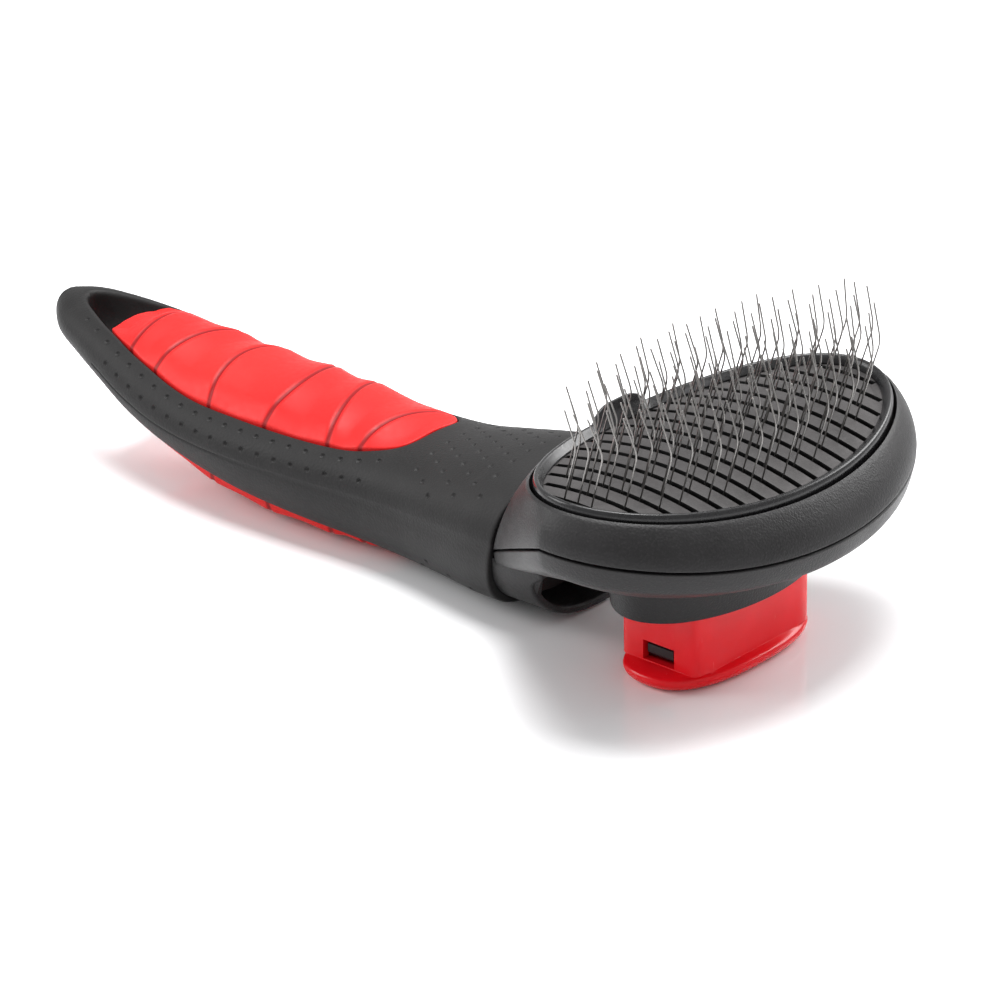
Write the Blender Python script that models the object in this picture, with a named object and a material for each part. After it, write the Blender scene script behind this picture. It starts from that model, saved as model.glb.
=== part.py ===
"""Pet slicker brush with an oval head, bent wire pins and a push-button cleaning plate.

The brush lies with its pins up, resting on its button and on the belly of its handle.
+X runs from the handle to the tip of the head, +Y along the head's long axis, +Z up.
The origin is the middle of the button's flat underside.
Lengths below are in millimetres, and MM turns them into metres when a mesh is made.
"""

import math

import bmesh
import bpy
from mathutils import Vector

MM = 0.001
GAP = 0.3  # clearance between neighbouring pieces

# Head: half length along Y, half width along X and height of each edge
STEPS = 72  # points round the head
FACE_BEND = 0.0065  # the face drops by this times x squared
HOUSING_EDGE = (43.0, 25.3, 43.0)
HOUSING_LIP = (42.4, 24.7, 43.3)
PARTING = (45.7, 29.2, 36.0)
PARTING_BEND = 0.006
SKIRT_BULGE = 0.9
WALL = 2.0
LEDGE = (37.6, 19.6, 36.4)
LEDGE_THICK = 1.0

# Neck, where the head meets the handle
NECK_X = -36.7
NECK_HALF_WIDTH = 19.6
NECK_MID_Z = 16.0
NECK_TOP_Z = 29.6
NECK_BOTTOM_Z = 0.3
NECK_LEAN = 0.19  # forward slope of the joint between neck and handle
SHOULDER_START = 95.0  # degrees round the head, from the tip
SHOULDER_END = 125.0

# Lower shell
BAND_DROP = 4.5
NECK_BAND_DROP = 3.0
COLLAR = (24.7, 13.9)
COLLAR_TOP_Z = 21.6
COLLAR_BOTTOM_Z = 15.4
BORE_TOP_Z = 24.5
CUP_WALL = 1.6
CUP_RIM_X = -28.3
CUP_CEILING_Z = 12.9
POCKET = (17.0, 12.2)
POCKET_END_X = -47.0
POCKET_WALL = 1.6

# Pin plate and the screws that clamp it to the lower shell
PIN_PLATE = (39.5, 21.7, 39.4)
PIN_PLATE_THICK = 1.7
SCREW_AT = (9.5, 24.5)
SCREW_HEAD = (2.3, 1.6)
SCREW_RADIUS = 1.2
SCREW_HOLE = 1.5
TOWER = (4.0, 25.0, 31.5)
SEAT_Z = 27.5
SCREW_TIP_Z = 36.0
SPRING_POST = (3.5, 29.0)

# Pins: wire, pitch and the bend
ROWS = 18
ROW_PITCH = 4.43
PIN_PITCH = 4.3
END_PIN_PITCH = 3.1
PIN_MARGIN = 2.2  # bare space at the neck side of a row
ROW_SHIFT = 1.1
WIRE = 0.42
PIN_FIELD = (39.4, 20.8)
KNEE_RISE = 13.5
KNEE_LEAN = math.radians(17.5)
TIP_RISE = 7.0
TIP_LEAN = math.radians(14.5)
KNEE_SPLAY = math.radians(3.0)
TIP_SPLAY = math.radians(8.0)

# Cleaning plate and its rim
PLATE = (40.2, 22.4, 42.6)
PLATE_THICK = 1.5
SLOT_WIDTH = 1.3
SLOT_FIELD = (39.6, 21.5)
RIM_CREST = (41.2, 23.4, 44.7)
TAB_RISE = 2.8
TAB_HALF_WIDTH = 7.2

# Button, push legs and spring
STEM = (16.3, 9.2)
STEM_SHAPE = 8.0
STEM_TOP_Z = 23.6
STEM_WALL = 1.6
FLANGE = (20.8, 11.4)
FLANGE_SHAPE = 2.5
FLANGE_TOP_Z = 3.0
FLOOR_TOP_Z = 2.4
WINDOW = (7.3, 3.3, 7.1)
LEG = (6.0, 12.6, 14.2)
HOOK = (15.7, 3.9, 6.3)
SPRING_RADIUS = 5.2
SPRING_WIRE = 0.55
SPRING_TURNS = 7

# Handle: x, half width, height of the widest line, rise above it, drop below it,
# and how square the underside is
GRIP = (
    (-37.0, 20.6, 17.0, 13.2, 16.7, 2.8),
    (-44.0, 20.1, 16.4, 13.2, 16.2, 2.8),
    (-54.0, 18.6, 15.5, 11.9, 14.9, 2.8),
    (-64.0, 17.2, 14.9, 10.4, 14.2, 2.8),
    (-76.0, 16.9, 14.6, 9.7, 13.4, 2.8),
    (-92.0, 18.0, 14.3, 9.3, 12.7, 2.6),
    (-108.0, 18.6, 14.2, 9.3, 12.2, 2.2),
    (-120.0, 18.0, 14.4, 9.5, 10.9, 2.0),
    (-130.0, 17.0, 15.4, 9.8, 9.2, 2.0),
    (-140.0, 15.2, 17.5, 9.5, 8.2, 2.0),
    (-149.0, 12.9, 20.0, 8.0, 6.9, 2.0),
    (-158.0, 10.2, 22.3, 6.2, 5.8, 2.0),
    (-165.0, 7.4, 23.6, 4.9, 4.8, 2.0),
    (-171.0, 2.4, 24.3, 3.2, 3.0, 2.0),
)
GRIP_SHAPE = 2.2
LEAN_END_X = -63.0
OPENING = (
    (-68.6, 0.0),
    (-69.8, 7.4),
    (-76.6, 11.2),
    (-86.0, 12.9),
    (-102.0, 13.7),
    (-117.4, 13.6),
    (-126.3, 12.9),
    (-133.7, 11.7),
    (-141.3, 10.2),
    (-148.7, 7.9),
    (-155.5, 5.3),
    (-161.0, 2.6),
    (-163.0, 0.0),
)
INSERT_END_X = -150.5
INSERT_PROUD = 3.4
INSERT_UNDER_PROUD = 1.4
INSERT_SHAPE = 2.0
INSERT_NARROW = 0.93
PLUG = ((-47.4, 16.4, 11.8, 15.8), (-60.0, 14.2, 9.8, 15.0))
FLARE_HOLLOW = (17.3, 12.5)
TANG = ((-60.0, 9.0, 2.4, 13.5), (-135.0, 6.0, 1.6, 17.5))
NECK_SCREW_AT = (7.0, 9.4)
NECK_SCREW_TIP_X = -58.0


def clear_scene():
    for obj in list(bpy.data.objects):
        bpy.data.objects.remove(obj)


def material(name, colour, roughness, metallic=0.0):
    made = bpy.data.materials.new(name)
    made.use_nodes = True
    shader = made.node_tree.nodes["Principled BSDF"]
    shader.inputs["Base Color"].default_value = (*colour, 1.0)
    shader.inputs["Roughness"].default_value = roughness
    shader.inputs["Metallic"].default_value = metallic
    return made


def add_object(name, bm, finish=None):
    """Makes an object of a mesh in millimetres, with flat faces that all point out."""
    bmesh.ops.connect_verts_nonplanar(bm, angle_limit=math.radians(0.05), faces=bm.faces)
    bmesh.ops.recalc_face_normals(bm, faces=bm.faces)
    bmesh.ops.scale(bm, vec=(MM, MM, MM), verts=bm.verts)
    mesh = bpy.data.meshes.new(name)
    bm.to_mesh(mesh)
    bm.free()
    mesh.shade_smooth()
    mesh.set_sharp_from_angle(angle=math.radians(35))
    obj = bpy.data.objects.new(name, mesh)
    bpy.context.scene.collection.objects.link(obj)
    if finish:
        mesh.materials.append(finish)
    return obj


def helper(name, bm):
    """An object that only cuts another one or adds to it."""
    obj = add_object(name, bm)
    obj.hide_render = True
    obj.display_type = "WIRE"
    return obj


def combine(obj, other, operation):
    modifier = obj.modifiers.new(other.name, "BOOLEAN")
    modifier.operation = operation
    modifier.solver = "EXACT"
    modifier.object = other


def add_skin(bm, loops, ring=False):
    """Joins loops of equal length with faces. A ring closes on itself, and anything else is capped."""
    rows = [[bm.verts.new(point) for point in loop] for loop in loops]
    pairs = list(zip(rows, rows[1:]))
    if ring:
        pairs.append((rows[-1], rows[0]))
    for low, high in pairs:
        for i in range(len(low)):
            j = (i + 1) % len(low)
            bm.faces.new((low[i], low[j], high[j], high[i]))
    if not ring:
        bm.faces.new(rows[0])
        bm.faces.new(rows[-1])


def skin(loops, ring=False):
    bm = bmesh.new()
    add_skin(bm, loops, ring)
    return bm


def add_box(bm, low, high):
    """Adds a box between two corners."""
    made = bmesh.ops.create_cube(bm, size=1.0)["verts"]
    size = [h - l for l, h in zip(low, high)]
    middle = [(h + l) / 2 for l, h in zip(low, high)]
    bmesh.ops.scale(bm, vec=size, verts=made)
    bmesh.ops.translate(bm, vec=middle, verts=made)


def add_turned(bm, profile, at, along="Z", sides=12):
    """Adds a capped turned solid. profile holds (radius, height) pairs, and heights run along the axis."""
    loops = []
    for radius, height in profile:
        loop = []
        for i in range(sides):
            angle = 2 * math.pi * i / sides
            u, v = radius * math.cos(angle), radius * math.sin(angle)
            loop.append((at[0] + u, at[1] + v, height) if along == "Z" else (height, at[0] + u, at[1] + v))
        loops.append(loop)
    add_skin(bm, loops)


def oval(half_y, half_x, degrees, shape=2.0):
    """A point of a superellipse, counted from +X."""
    c, s = math.cos(math.radians(degrees)), math.sin(math.radians(degrees))
    x = half_x * math.copysign(abs(c) ** (2 / shape), c)
    y = half_y * math.copysign(abs(s) ** (2 / shape), s)
    return x, y


def round_head():
    return [360.0 * i / STEPS for i in range(STEPS)]


def face_loop(half_y, half_x, z):
    """An oval loop that follows the bent face."""
    loop = []
    for degrees in round_head():
        x, y = oval(half_y, half_x, degrees)
        loop.append(Vector((x, y, z - FACE_BEND * x * x)))
    return loop


def flat_loop(half_y, half_x, z, shape=2.0):
    return [Vector((*oval(half_y, half_x, degrees, shape), z)) for degrees in round_head()]


def lean(point, share=1.0):
    """Shifts a point along X, so the joint between neck and handle slopes forward as it rises."""
    return point + Vector((share * NECK_LEAN * (point.z - GRIP[0][2]), 0, 0))


def parting_point(degrees, inset=0.0, upper=True):
    """A point of the line where the two shells meet: the head's oval, the shoulder, then the neck's end."""
    turn = degrees if degrees <= 180 else 360 - degrees
    side = 1 if degrees <= 180 else -1
    half_y, half_x, top = PARTING
    if turn <= SHOULDER_START:
        x, y = oval(half_y - inset, half_x - inset, turn)
        return Vector((x, side * y, top - PARTING_BEND * x * x))
    start = parting_point(SHOULDER_START, inset)
    corner = lean(Vector((NECK_X, NECK_HALF_WIDTH - inset, NECK_MID_Z)))
    if turn < SHOULDER_END:
        part = (turn - SHOULDER_START) / (SHOULDER_END - SHOULDER_START)
        pull = Vector((-16.0, -1.0, -4.8)) * part * (1 - part) * (1 - part)
        point = start.lerp(corner, part * part * (3 - 2 * part) * 0.35 + part * 0.65) + pull
        return Vector((point.x, side * point.y, point.z))
    rise = 90.0 * (turn - SHOULDER_END) / (180.0 - SHOULDER_END)
    reach = math.cos(math.radians(rise)) * (NECK_HALF_WIDTH - inset)
    if not upper:
        return lean(Vector((NECK_X + inset, side * reach, NECK_MID_Z)))
    height = math.sin(math.radians(rise)) * (NECK_TOP_Z - NECK_MID_Z - inset)
    return lean(Vector((NECK_X, side * reach, NECK_MID_Z + height)))


def parting_loop(inset=0.0, upper=True, raised=0.0):
    lift = Vector((0, 0, raised))
    return [parting_point(degrees, inset, upper) + lift for degrees in round_head()]


def between(low, high, part, out=0.0, down=0.0):
    """A loop part of the way from one loop to another, pushed away from the head's middle and down."""
    loop = []
    for a, b in zip(low, high):
        point = a.lerp(b, part)
        away = Vector((point.x, point.y, 0)).normalized()
        loop.append(point + away * out - Vector((0, 0, down)))
    return loop


def smooth(stations, x):
    """A smooth curve through stations (x, value, value, ...), whose x falls."""
    i = 0
    while i < len(stations) - 2 and x < stations[i + 1][0]:
        i += 1
    left, right = stations[i], stations[i + 1]
    before, after = stations[max(i - 1, 0)], stations[min(i + 2, len(stations) - 1)]
    span = right[0] - left[0]
    part = min(max((x - left[0]) / span, 0.0), 1.0)
    values = []
    for k in range(1, len(left)):
        slope_in = (right[k] - before[k]) / (right[0] - before[0]) * span
        slope_out = (after[k] - left[k]) / (after[0] - left[0]) * span
        a = 2 * part**3 - 3 * part**2 + 1
        b = part**3 - 2 * part**2 + part
        c = -2 * part**3 + 3 * part**2
        d = part**3 - part**2
        values.append(a * left[k] + b * slope_in + c * right[k] + d * slope_out)
    return values


def closed_curve(points, spans):
    """A smooth closed outline through the points, with a number of spans between each two."""
    made = []
    count = len(points)
    for i in range(count):
        p0, p1, p2, p3 = (Vector(points[(i + k - 1) % count]) for k in range(4))
        for j in range(spans):
            t = j / spans
            made.append(
                0.5 * (2 * p1 + (p2 - p0) * t + (2 * p0 - 5 * p1 + 4 * p2 - p3) * t**2
                       + (3 * p1 - p0 - 3 * p2 + p3) * t**3)
            )
    return made


def upper_housing(finish):
    """The skirt round the face and the roof of the neck, with an inner ledge under the pin plate."""
    edge = face_loop(*HOUSING_EDGE)
    foot = parting_loop(raised=GAP / 2)
    half_y, half_x, ledge_z = LEDGE
    well_y, well_x, _ = HOUSING_LIP
    loops = [
        face_loop(*HOUSING_LIP),
        edge,
        between(edge, foot, 0.35, out=SKIRT_BULGE),
        between(edge, foot, 0.7, out=SKIRT_BULGE),
        foot,
        parting_loop(inset=WALL, raised=GAP / 2),
        face_loop(well_y - 0.6, well_x - 0.6, ledge_z),
        face_loop(half_y, half_x, ledge_z),
        face_loop(half_y, half_x, ledge_z + LEDGE_THICK),
        face_loop(well_y, well_x, ledge_z + LEDGE_THICK),
    ]
    return add_object("upper_housing", skin(loops, ring=True), finish)


def neck_section(x, half_width, depth, ceiling_z, leaning=True):
    """The neck's lower half in outline at one x, closed by a flat ceiling."""
    start = math.degrees(math.asin(((NECK_MID_Z - ceiling_z) / depth) ** (GRIP_SHAPE / 2)))
    loop = []
    for i in range(15):
        y, z = oval(depth, half_width, start + (180 - 2 * start) * i / 14, GRIP_SHAPE)
        point = Vector((x, y, NECK_MID_Z - z))
        loop.append(lean(point) if leaning else point)
    return loop


def lower_shell(finish):
    """The bowl under the head, the button's collar, and the open cup under the neck."""
    rim = parting_loop(upper=False, raised=-GAP / 2)
    band = []
    floor_edge = []
    for degrees in round_head():
        neck = abs(degrees - 180) <= 180 - SHOULDER_END
        near = max(0.0, min(1.0, (abs(180 - abs(degrees - 180)) - SHOULDER_START) / 30.0))
        drop = BAND_DROP + (NECK_BAND_DROP - BAND_DROP) * (1.0 if neck else near)
        band.append(parting_point(degrees, 0.9, upper=False) - Vector((0, 0, drop)))
        floor_edge.append(parting_point(degrees, 2.4, upper=False) - Vector((0, 0, drop - 1.9)))
    collar_top = flat_loop(COLLAR[0] + 0.7, COLLAR[1] + 0.7, COLLAR_TOP_Z)
    bore = (STEM[0] + GAP + 0.05, STEM[1] + GAP + 0.05)
    loops = [
        rim,
        band,
        between(band, collar_top, 0.5, down=0.8),
        collar_top,
        flat_loop(*COLLAR, COLLAR_BOTTOM_Z),
        flat_loop(*bore, COLLAR_BOTTOM_Z, STEM_SHAPE),
        flat_loop(*bore, BORE_TOP_Z, STEM_SHAPE),
        floor_edge,
        parting_loop(inset=WALL, upper=False, raised=-GAP / 2),
    ]
    obj = add_object("lower_shell", skin(loops, ring=True), finish)
    depth = NECK_MID_Z - NECK_BOTTOM_Z
    roof = CUP_CEILING_Z + 1.5
    cup = skin(
        [neck_section(NECK_X, NECK_HALF_WIDTH, depth, roof),
         neck_section(CUP_RIM_X, NECK_HALF_WIDTH, depth, roof, leaning=False)]
    )
    combine(obj, helper("cup", cup), "UNION")
    pocket = skin([neck_section(x, *POCKET, roof, x > NECK_X) for x in (POCKET_END_X, NECK_X + 1)])
    combine(obj, helper("pocket", pocket), "UNION")
    inner = [size - POCKET_WALL for size in POCKET]
    mouth = (NECK_HALF_WIDTH - CUP_WALL, depth - CUP_WALL)
    hollow = skin(
        [neck_section(POCKET_END_X + POCKET_WALL, *inner, CUP_CEILING_Z, leaning=False),
         neck_section(NECK_X + 0.3, *inner, CUP_CEILING_Z),
         neck_section(NECK_X + 2.0, *mouth, CUP_CEILING_Z),
         neck_section(CUP_RIM_X + 2.0, *mouth, CUP_CEILING_Z, leaning=False)]
    )
    combine(obj, helper("cup_hollow", hollow), "DIFFERENCE")
    towers = bmesh.new()
    holes = bmesh.new()
    radius, low, high = TOWER
    for at in screw_places():
        add_turned(towers, [(radius, low), (radius, high)], at, sides=16)
        seat = SCREW_HEAD[0] + GAP
        add_turned(holes, [(seat, low - 8), (seat, SEAT_Z), (SCREW_HOLE, SEAT_Z), (SCREW_HOLE, high + 1)], at)
    combine(obj, helper("towers", towers), "UNION")
    combine(obj, helper("tower_holes", holes), "DIFFERENCE")
    neck_holes = bmesh.new()
    for side in (-1, 1):
        at = (side * NECK_SCREW_AT[0], NECK_SCREW_AT[1])
        hole = [(SCREW_HOLE, POCKET_END_X - 4), (SCREW_HOLE, POCKET_END_X + 4)]
        add_turned(neck_holes, hole, at, along="X")
    combine(obj, helper("neck_holes", neck_holes), "DIFFERENCE")
    return obj


def screw_places():
    x, y = SCREW_AT
    return [(x, y), (-x, y), (x, -y), (-x, -y)]


def bent_slab(half_x, half_y, top, thick):
    """A wide slab that follows the bent face."""
    loops = []
    for i in range(9):
        x = half_x * (i / 4 - 1)
        z = top - FACE_BEND * x * x
        corners = ((-half_y, z), (half_y, z), (half_y, z - thick), (-half_y, z - thick))
        loops.append([Vector((x, y, height)) for y, height in corners])
    return skin(loops)


def oval_block(half_y, half_x, low, high):
    return skin([flat_loop(half_y, half_x, z) for z in (low, high)])


def bent_plate(name, half_y, half_x, top, thick, finish):
    obj = add_object(name, bent_slab(half_x + 1, half_y + 1, top, thick), finish)
    outline = oval_block(half_y, half_x, top - 10, top + 5)
    combine(obj, helper(name + "_outline", outline), "INTERSECT")
    return obj


def pin_plate(finish):
    """The plate that holds the pins, with a boss for each screw and the spring's post."""
    half_y, half_x, top = PIN_PLATE
    obj = bent_plate("pin_plate", half_y, half_x, top, PIN_PLATE_THICK, finish)
    posts = bmesh.new()
    holes = bmesh.new()
    buried = top - PIN_PLATE_THICK / 2
    for at in screw_places():
        under = buried - FACE_BEND * at[0] ** 2
        add_turned(posts, [(3.0, TOWER[2] + GAP), (3.0, under)], at)
        add_turned(holes, [(SCREW_HOLE, TOWER[2] - 1), (SCREW_HOLE, SCREW_TIP_Z + GAP)], at)
    add_turned(posts, [(SPRING_POST[0] - 0.8, SPRING_POST[1]), (SPRING_POST[0], SPRING_POST[1] + 0.8),
                       (SPRING_POST[0], buried)], (0, 0))
    for side in (-1, 1):
        near, far = sorted((side * (LEG[1] - 0.35), side * (LEG[2] + 0.35)))
        add_box(holes, (-LEG[0] / 2 - 0.35, near, top - 6), (LEG[0] / 2 + 0.35, far, top + 2))
    combine(obj, helper("plate_posts", posts), "UNION")
    combine(obj, helper("plate_holes", holes), "DIFFERENCE")
    return obj


def field_half(field, y):
    """Half the width, along X, of an oval field at one y."""
    half_y, half_x = field
    return half_x * math.sqrt(max(0.0, 1 - (y / half_y) ** 2))


def row_y(row):
    return (row - (ROWS - 1) / 2) * ROW_PITCH


def pin_places(row):
    """The x of each pin's foot in a row, counted back from the tip's side. Every other row is set back."""
    half = field_half(PIN_FIELD, row_y(row))
    last = half - KNEE_RISE * math.tan(KNEE_LEAN)
    if row in (0, ROWS - 1):
        return [last - END_PIN_PITCH * k for k in (2, 1, 0)]
    last -= ROW_SHIFT if row % 2 else 0.0
    count = math.floor((last + half - PIN_MARGIN) / PIN_PITCH) + 1
    return [last - PIN_PITCH * k for k in reversed(range(count))]


def pin_row(row, finish):
    """One row of pins and the crown wire that joins them, lying on the pin plate."""
    y_slot = row_y(row)
    share = y_slot / row_y(ROWS - 1)
    splay, fan = math.tan(KNEE_SPLAY * share), math.tan(TIP_SPLAY * share)
    y = y_slot - splay * KNEE_RISE / 2
    places = pin_places(row)
    half = WIRE / 2
    crown_top = PIN_PLATE[2] + GAP + WIRE
    stations = [x + side * half for x in places for side in (-1, 1)]
    loops = []
    for x in stations:
        top = crown_top - FACE_BEND * x * x
        corners = ((y - half, top - WIRE), (y + half, top - WIRE), (y + half, top), (y - half, top))
        loops.append([Vector((x, v, w)) for v, w in corners])
    bm = skin(loops)
    bmesh.ops.recalc_face_normals(bm, faces=bm.faces)
    feet = [face for face in bm.faces if face.normal.z > 0.8 and face.calc_area() < 1.2 * WIRE * WIRE]
    knee = Vector((KNEE_RISE * math.tan(KNEE_LEAN), KNEE_RISE * splay, KNEE_RISE))
    tip = Vector((-TIP_RISE * math.tan(TIP_LEAN), TIP_RISE * fan, TIP_RISE))
    for face in feet:
        for step in (knee, tip):
            face = bmesh.ops.extrude_discrete_faces(bm, faces=[face])["faces"][0]
            bmesh.ops.translate(bm, vec=step, verts=face.verts)
    return add_object(f"pin_row_{row + 1:02d}", bm, finish)


def screws(finish):
    """The four screws that hold the pin plate, from below, and the two that hold the handle."""
    head, thick = SCREW_HEAD
    made = []
    for number, at in enumerate(screw_places(), 1):
        bm = bmesh.new()
        under = SEAT_Z - GAP
        profile = [(head * 0.8, under - thick), (head, under - thick * 0.6), (head, under),
                   (SCREW_RADIUS, under), (SCREW_RADIUS, SCREW_TIP_Z - 1), (0.5, SCREW_TIP_Z)]
        add_turned(bm, profile, at)
        made.append(add_object(f"plate_screw_{number}", bm, finish))
    for name, side in (("left", 1), ("right", -1)):
        bm = bmesh.new()
        seat = POCKET_END_X + POCKET_WALL + GAP
        profile = [(head * 0.8, seat + thick), (head, seat + thick * 0.6), (head, seat),
                   (SCREW_RADIUS, seat), (SCREW_RADIUS, NECK_SCREW_TIP_X + 1), (0.5, NECK_SCREW_TIP_X)]
        add_turned(bm, profile, (side * NECK_SCREW_AT[0], NECK_SCREW_AT[1]), along="X")
        made.append(add_object(f"neck_screw_{name}", bm, finish))
    return made


def slot_cutter():
    bm = bmesh.new()
    for row in range(ROWS):
        y = row_y(row)
        half = field_half(SLOT_FIELD, y)
        add_box(bm, (-half, y - SLOT_WIDTH / 2, PLATE[2] - 10), (half, y + SLOT_WIDTH / 2, PLATE[2] + 4))
    return bm


def cleaning_plate(finish):
    """The slotted plate that pushes hair off the pins."""
    obj = bent_plate("cleaning_plate", *PLATE, PLATE_THICK, finish)
    combine(obj, helper("slots", slot_cutter()), "DIFFERENCE")
    return obj


def tab_rise(degrees, y):
    """How far the thumb tab raises the rim, at the side of the neck."""
    if abs(degrees - 180) > 60 or abs(y) >= TAB_HALF_WIDTH:
        return 0.0
    return TAB_RISE * (1 - (y / TAB_HALF_WIDTH) ** 4)


def plate_rim(finish):
    """The rim round the cleaning plate, with the thumb tab that stands up at the neck."""
    half_y, half_x, crest = RIM_CREST
    outer_y, outer_x = half_y + 0.6, half_x + 0.6
    plate_y, plate_x, plate_top = PLATE
    shelf = plate_top - PLATE_THICK - GAP
    sections = (
        (outer_y, outer_x, crest - 5.8, 0.0),
        (outer_y, outer_x, crest - 0.8, 0.7),
        (half_y + 0.3, half_x + 0.3, crest - 0.15, 1.0),
        (half_y - 0.3, half_x - 0.3, crest - 0.15, 1.0),
        (plate_y + 0.35, plate_x + 0.35, crest - 0.8, 0.7),
        (plate_y + 0.35, plate_x + 0.35, shelf, 0.0),
        (plate_y - 0.6, plate_x - 0.6, shelf, 0.0),
        (plate_y - 0.6, plate_x - 0.6, shelf - 0.9, 0.0),
        (plate_y + 0.2, plate_x + 0.2, shelf - 0.9, 0.0),
        (plate_y + 0.2, plate_x + 0.2, crest - 5.8, 0.0),
    )
    loops = []
    for section_y, section_x, z, share in sections:
        loop = face_loop(section_y, section_x, z)
        for degrees, point in zip(round_head(), loop):
            point.z += share * tab_rise(degrees, point.y)
        loops.append(loop)
    return add_object("plate_rim", skin(loops, ring=True), finish)


def push_legs(finish):
    """The two legs that carry the button's push to the cleaning plate. Each hooks into the button."""
    made = []
    half = LEG[0] / 2
    top = PLATE[2] - PLATE_THICK - GAP - FACE_BEND * half * half
    for name, side in (("left", 1), ("right", -1)):
        outline = [(LEG[1], HOOK[1]), (HOOK[0] - 0.8, HOOK[1]), (HOOK[0], HOOK[1] + 0.8), (HOOK[0], HOOK[2]),
                   (LEG[2], HOOK[2]), (LEG[2], top), (LEG[1], top)]
        bm = skin([[Vector((x, side * y, z)) for y, z in outline] for x in (-half, half)])
        made.append(add_object(f"push_leg_{name}", bm, finish))
    return made


def release_button(finish):
    """The hollow red button: a boxy stem on a wide oval flange, with a window in each end."""
    inner = (STEM[0] - STEM_WALL, STEM[1] - STEM_WALL)
    loops = [
        flat_loop(FLANGE[0] - 0.8, FLANGE[1] - 0.8, 0.0, FLANGE_SHAPE),
        flat_loop(*FLANGE, 0.9, FLANGE_SHAPE),
        flat_loop(*FLANGE, FLANGE_TOP_Z - 0.4, FLANGE_SHAPE),
        flat_loop(FLANGE[0] - 0.4, FLANGE[1] - 0.4, FLANGE_TOP_Z, FLANGE_SHAPE),
        flat_loop(*STEM, FLANGE_TOP_Z + 0.1, STEM_SHAPE),
        flat_loop(*STEM, STEM_TOP_Z, STEM_SHAPE),
        flat_loop(*inner, STEM_TOP_Z, STEM_SHAPE),
        flat_loop(*inner, FLOOR_TOP_Z, STEM_SHAPE),
    ]
    obj = add_object("release_button", skin(loops), finish)
    boss = bmesh.new()
    add_turned(boss, [(3.5, FLOOR_TOP_Z - 1), (3.5, 6.5), (2.8, 7.2)], (0, 0))
    combine(obj, helper("button_boss", boss), "UNION")
    windows = bmesh.new()
    width, low, high = WINDOW
    for side in (-1, 1):
        near, far = sorted((side * (STEM[0] - STEM_WALL - 1), side * (STEM[0] + 1)))
        add_box(windows, (-width / 2, near, low), (width / 2, far, high))
    combine(obj, helper("windows", windows), "DIFFERENCE")
    return obj


def return_spring(finish):
    """The coil spring between the button's floor and the pin plate."""
    low = FLOOR_TOP_Z + GAP + SPRING_WIRE
    high = PIN_PLATE[2] - PIN_PLATE_THICK - 0.5 - SPRING_WIRE
    sides, per_turn = 5, 10
    count = SPRING_TURNS * per_turn
    loops = []
    for i in range(count + 1):
        angle = 2 * math.pi * i / per_turn
        outward = Vector((math.cos(angle), math.sin(angle), 0))
        centre = outward * SPRING_RADIUS + Vector((0, 0, low + (high - low) * i / count))
        loop = []
        for k in range(sides):
            turn = 2 * math.pi * k / sides
            loop.append(centre + SPRING_WIRE * (outward * math.cos(turn) + Vector((0, 0, math.sin(turn)))))
        loops.append(loop)
    return add_object("return_spring", skin(loops), finish)


def tube_section(x, half_y, middle, rise, drop, shape=GRIP_SHAPE, under_shape=GRIP_SHAPE, count=36):
    loop = []
    for i in range(count):
        degrees = 360.0 * i / count - 90
        up, y = oval(half_y, 1.0, degrees, shape if abs(degrees) < 90 else under_shape)
        loop.append(Vector((x, y, middle + up * (rise if up > 0 else drop))))
    return loop


def grip_stations():
    """The x of each section of the grip, closer together towards the tail."""
    start, end, count = GRIP[0][0], GRIP[-1][0], 30
    return [start + (end - start) * (1 - (1 - i / count) ** 1.25) for i in range(count + 1)]


def grip_section(x, narrow=1.0, proud=0.0, under_proud=0.0, shape=GRIP_SHAPE):
    half_y, middle, rise, drop, under_shape = smooth(GRIP, x)
    leaning = max(0.0, (x - LEAN_END_X) / (GRIP[0][0] - LEAN_END_X))
    loop = tube_section(x, half_y * narrow, middle, rise + proud, drop + under_proud, shape, under_shape)
    return [lean(point, leaning) for point in loop]


def outline_prism(points, inset):
    """An upright solid on an outline of (x, half width) pairs, drawn in by an inset."""
    middle = sum(p[0] for p in points) / len(points)
    pairs = []
    for x, half in points:
        x_in = x + inset * (1 if x < middle else -1) * (1.0 if half < 1.0 else 0.3)
        pairs.append((x_in, max(half - inset, 0.0)))
    around = [(x, half, 0) for x, half in pairs] + [(x, -half, 0) for x, half in reversed(pairs[1:-1])]
    outline = closed_curve(around, 2)
    return skin([[Vector((p.x, p.y, z)) for p in outline] for z in (-8.0, 42.0)])


def plug_and_tang(grow=0.0):
    """The handle core: a plug in the flare, and a tang that runs back into the insert."""
    loops = []
    for k, (x, half_y, half_z, middle) in enumerate(PLUG):
        end = grow if k == 0 else -grow
        loops.append(tube_section(x + end, half_y + grow, middle, half_z + grow, half_z + grow, count=24))
    for x, half_y, half_z, middle in TANG:
        size = half_z + grow
        loops.append(tube_section(x - grow, half_y + grow, middle, size, size, 6.0, 6.0, count=24))
    return skin(loops)


def handle_core(finish):
    obj = add_object("handle_core", plug_and_tang(), finish)
    holes = bmesh.new()
    for side in (-1, 1):
        at = (side * NECK_SCREW_AT[0], NECK_SCREW_AT[1])
        add_turned(holes, [(SCREW_HOLE, NECK_SCREW_TIP_X - GAP), (SCREW_HOLE, PLUG[0][0] + 2)], at, along="X")
    combine(obj, helper("core_holes", holes), "DIFFERENCE")
    return obj


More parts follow.
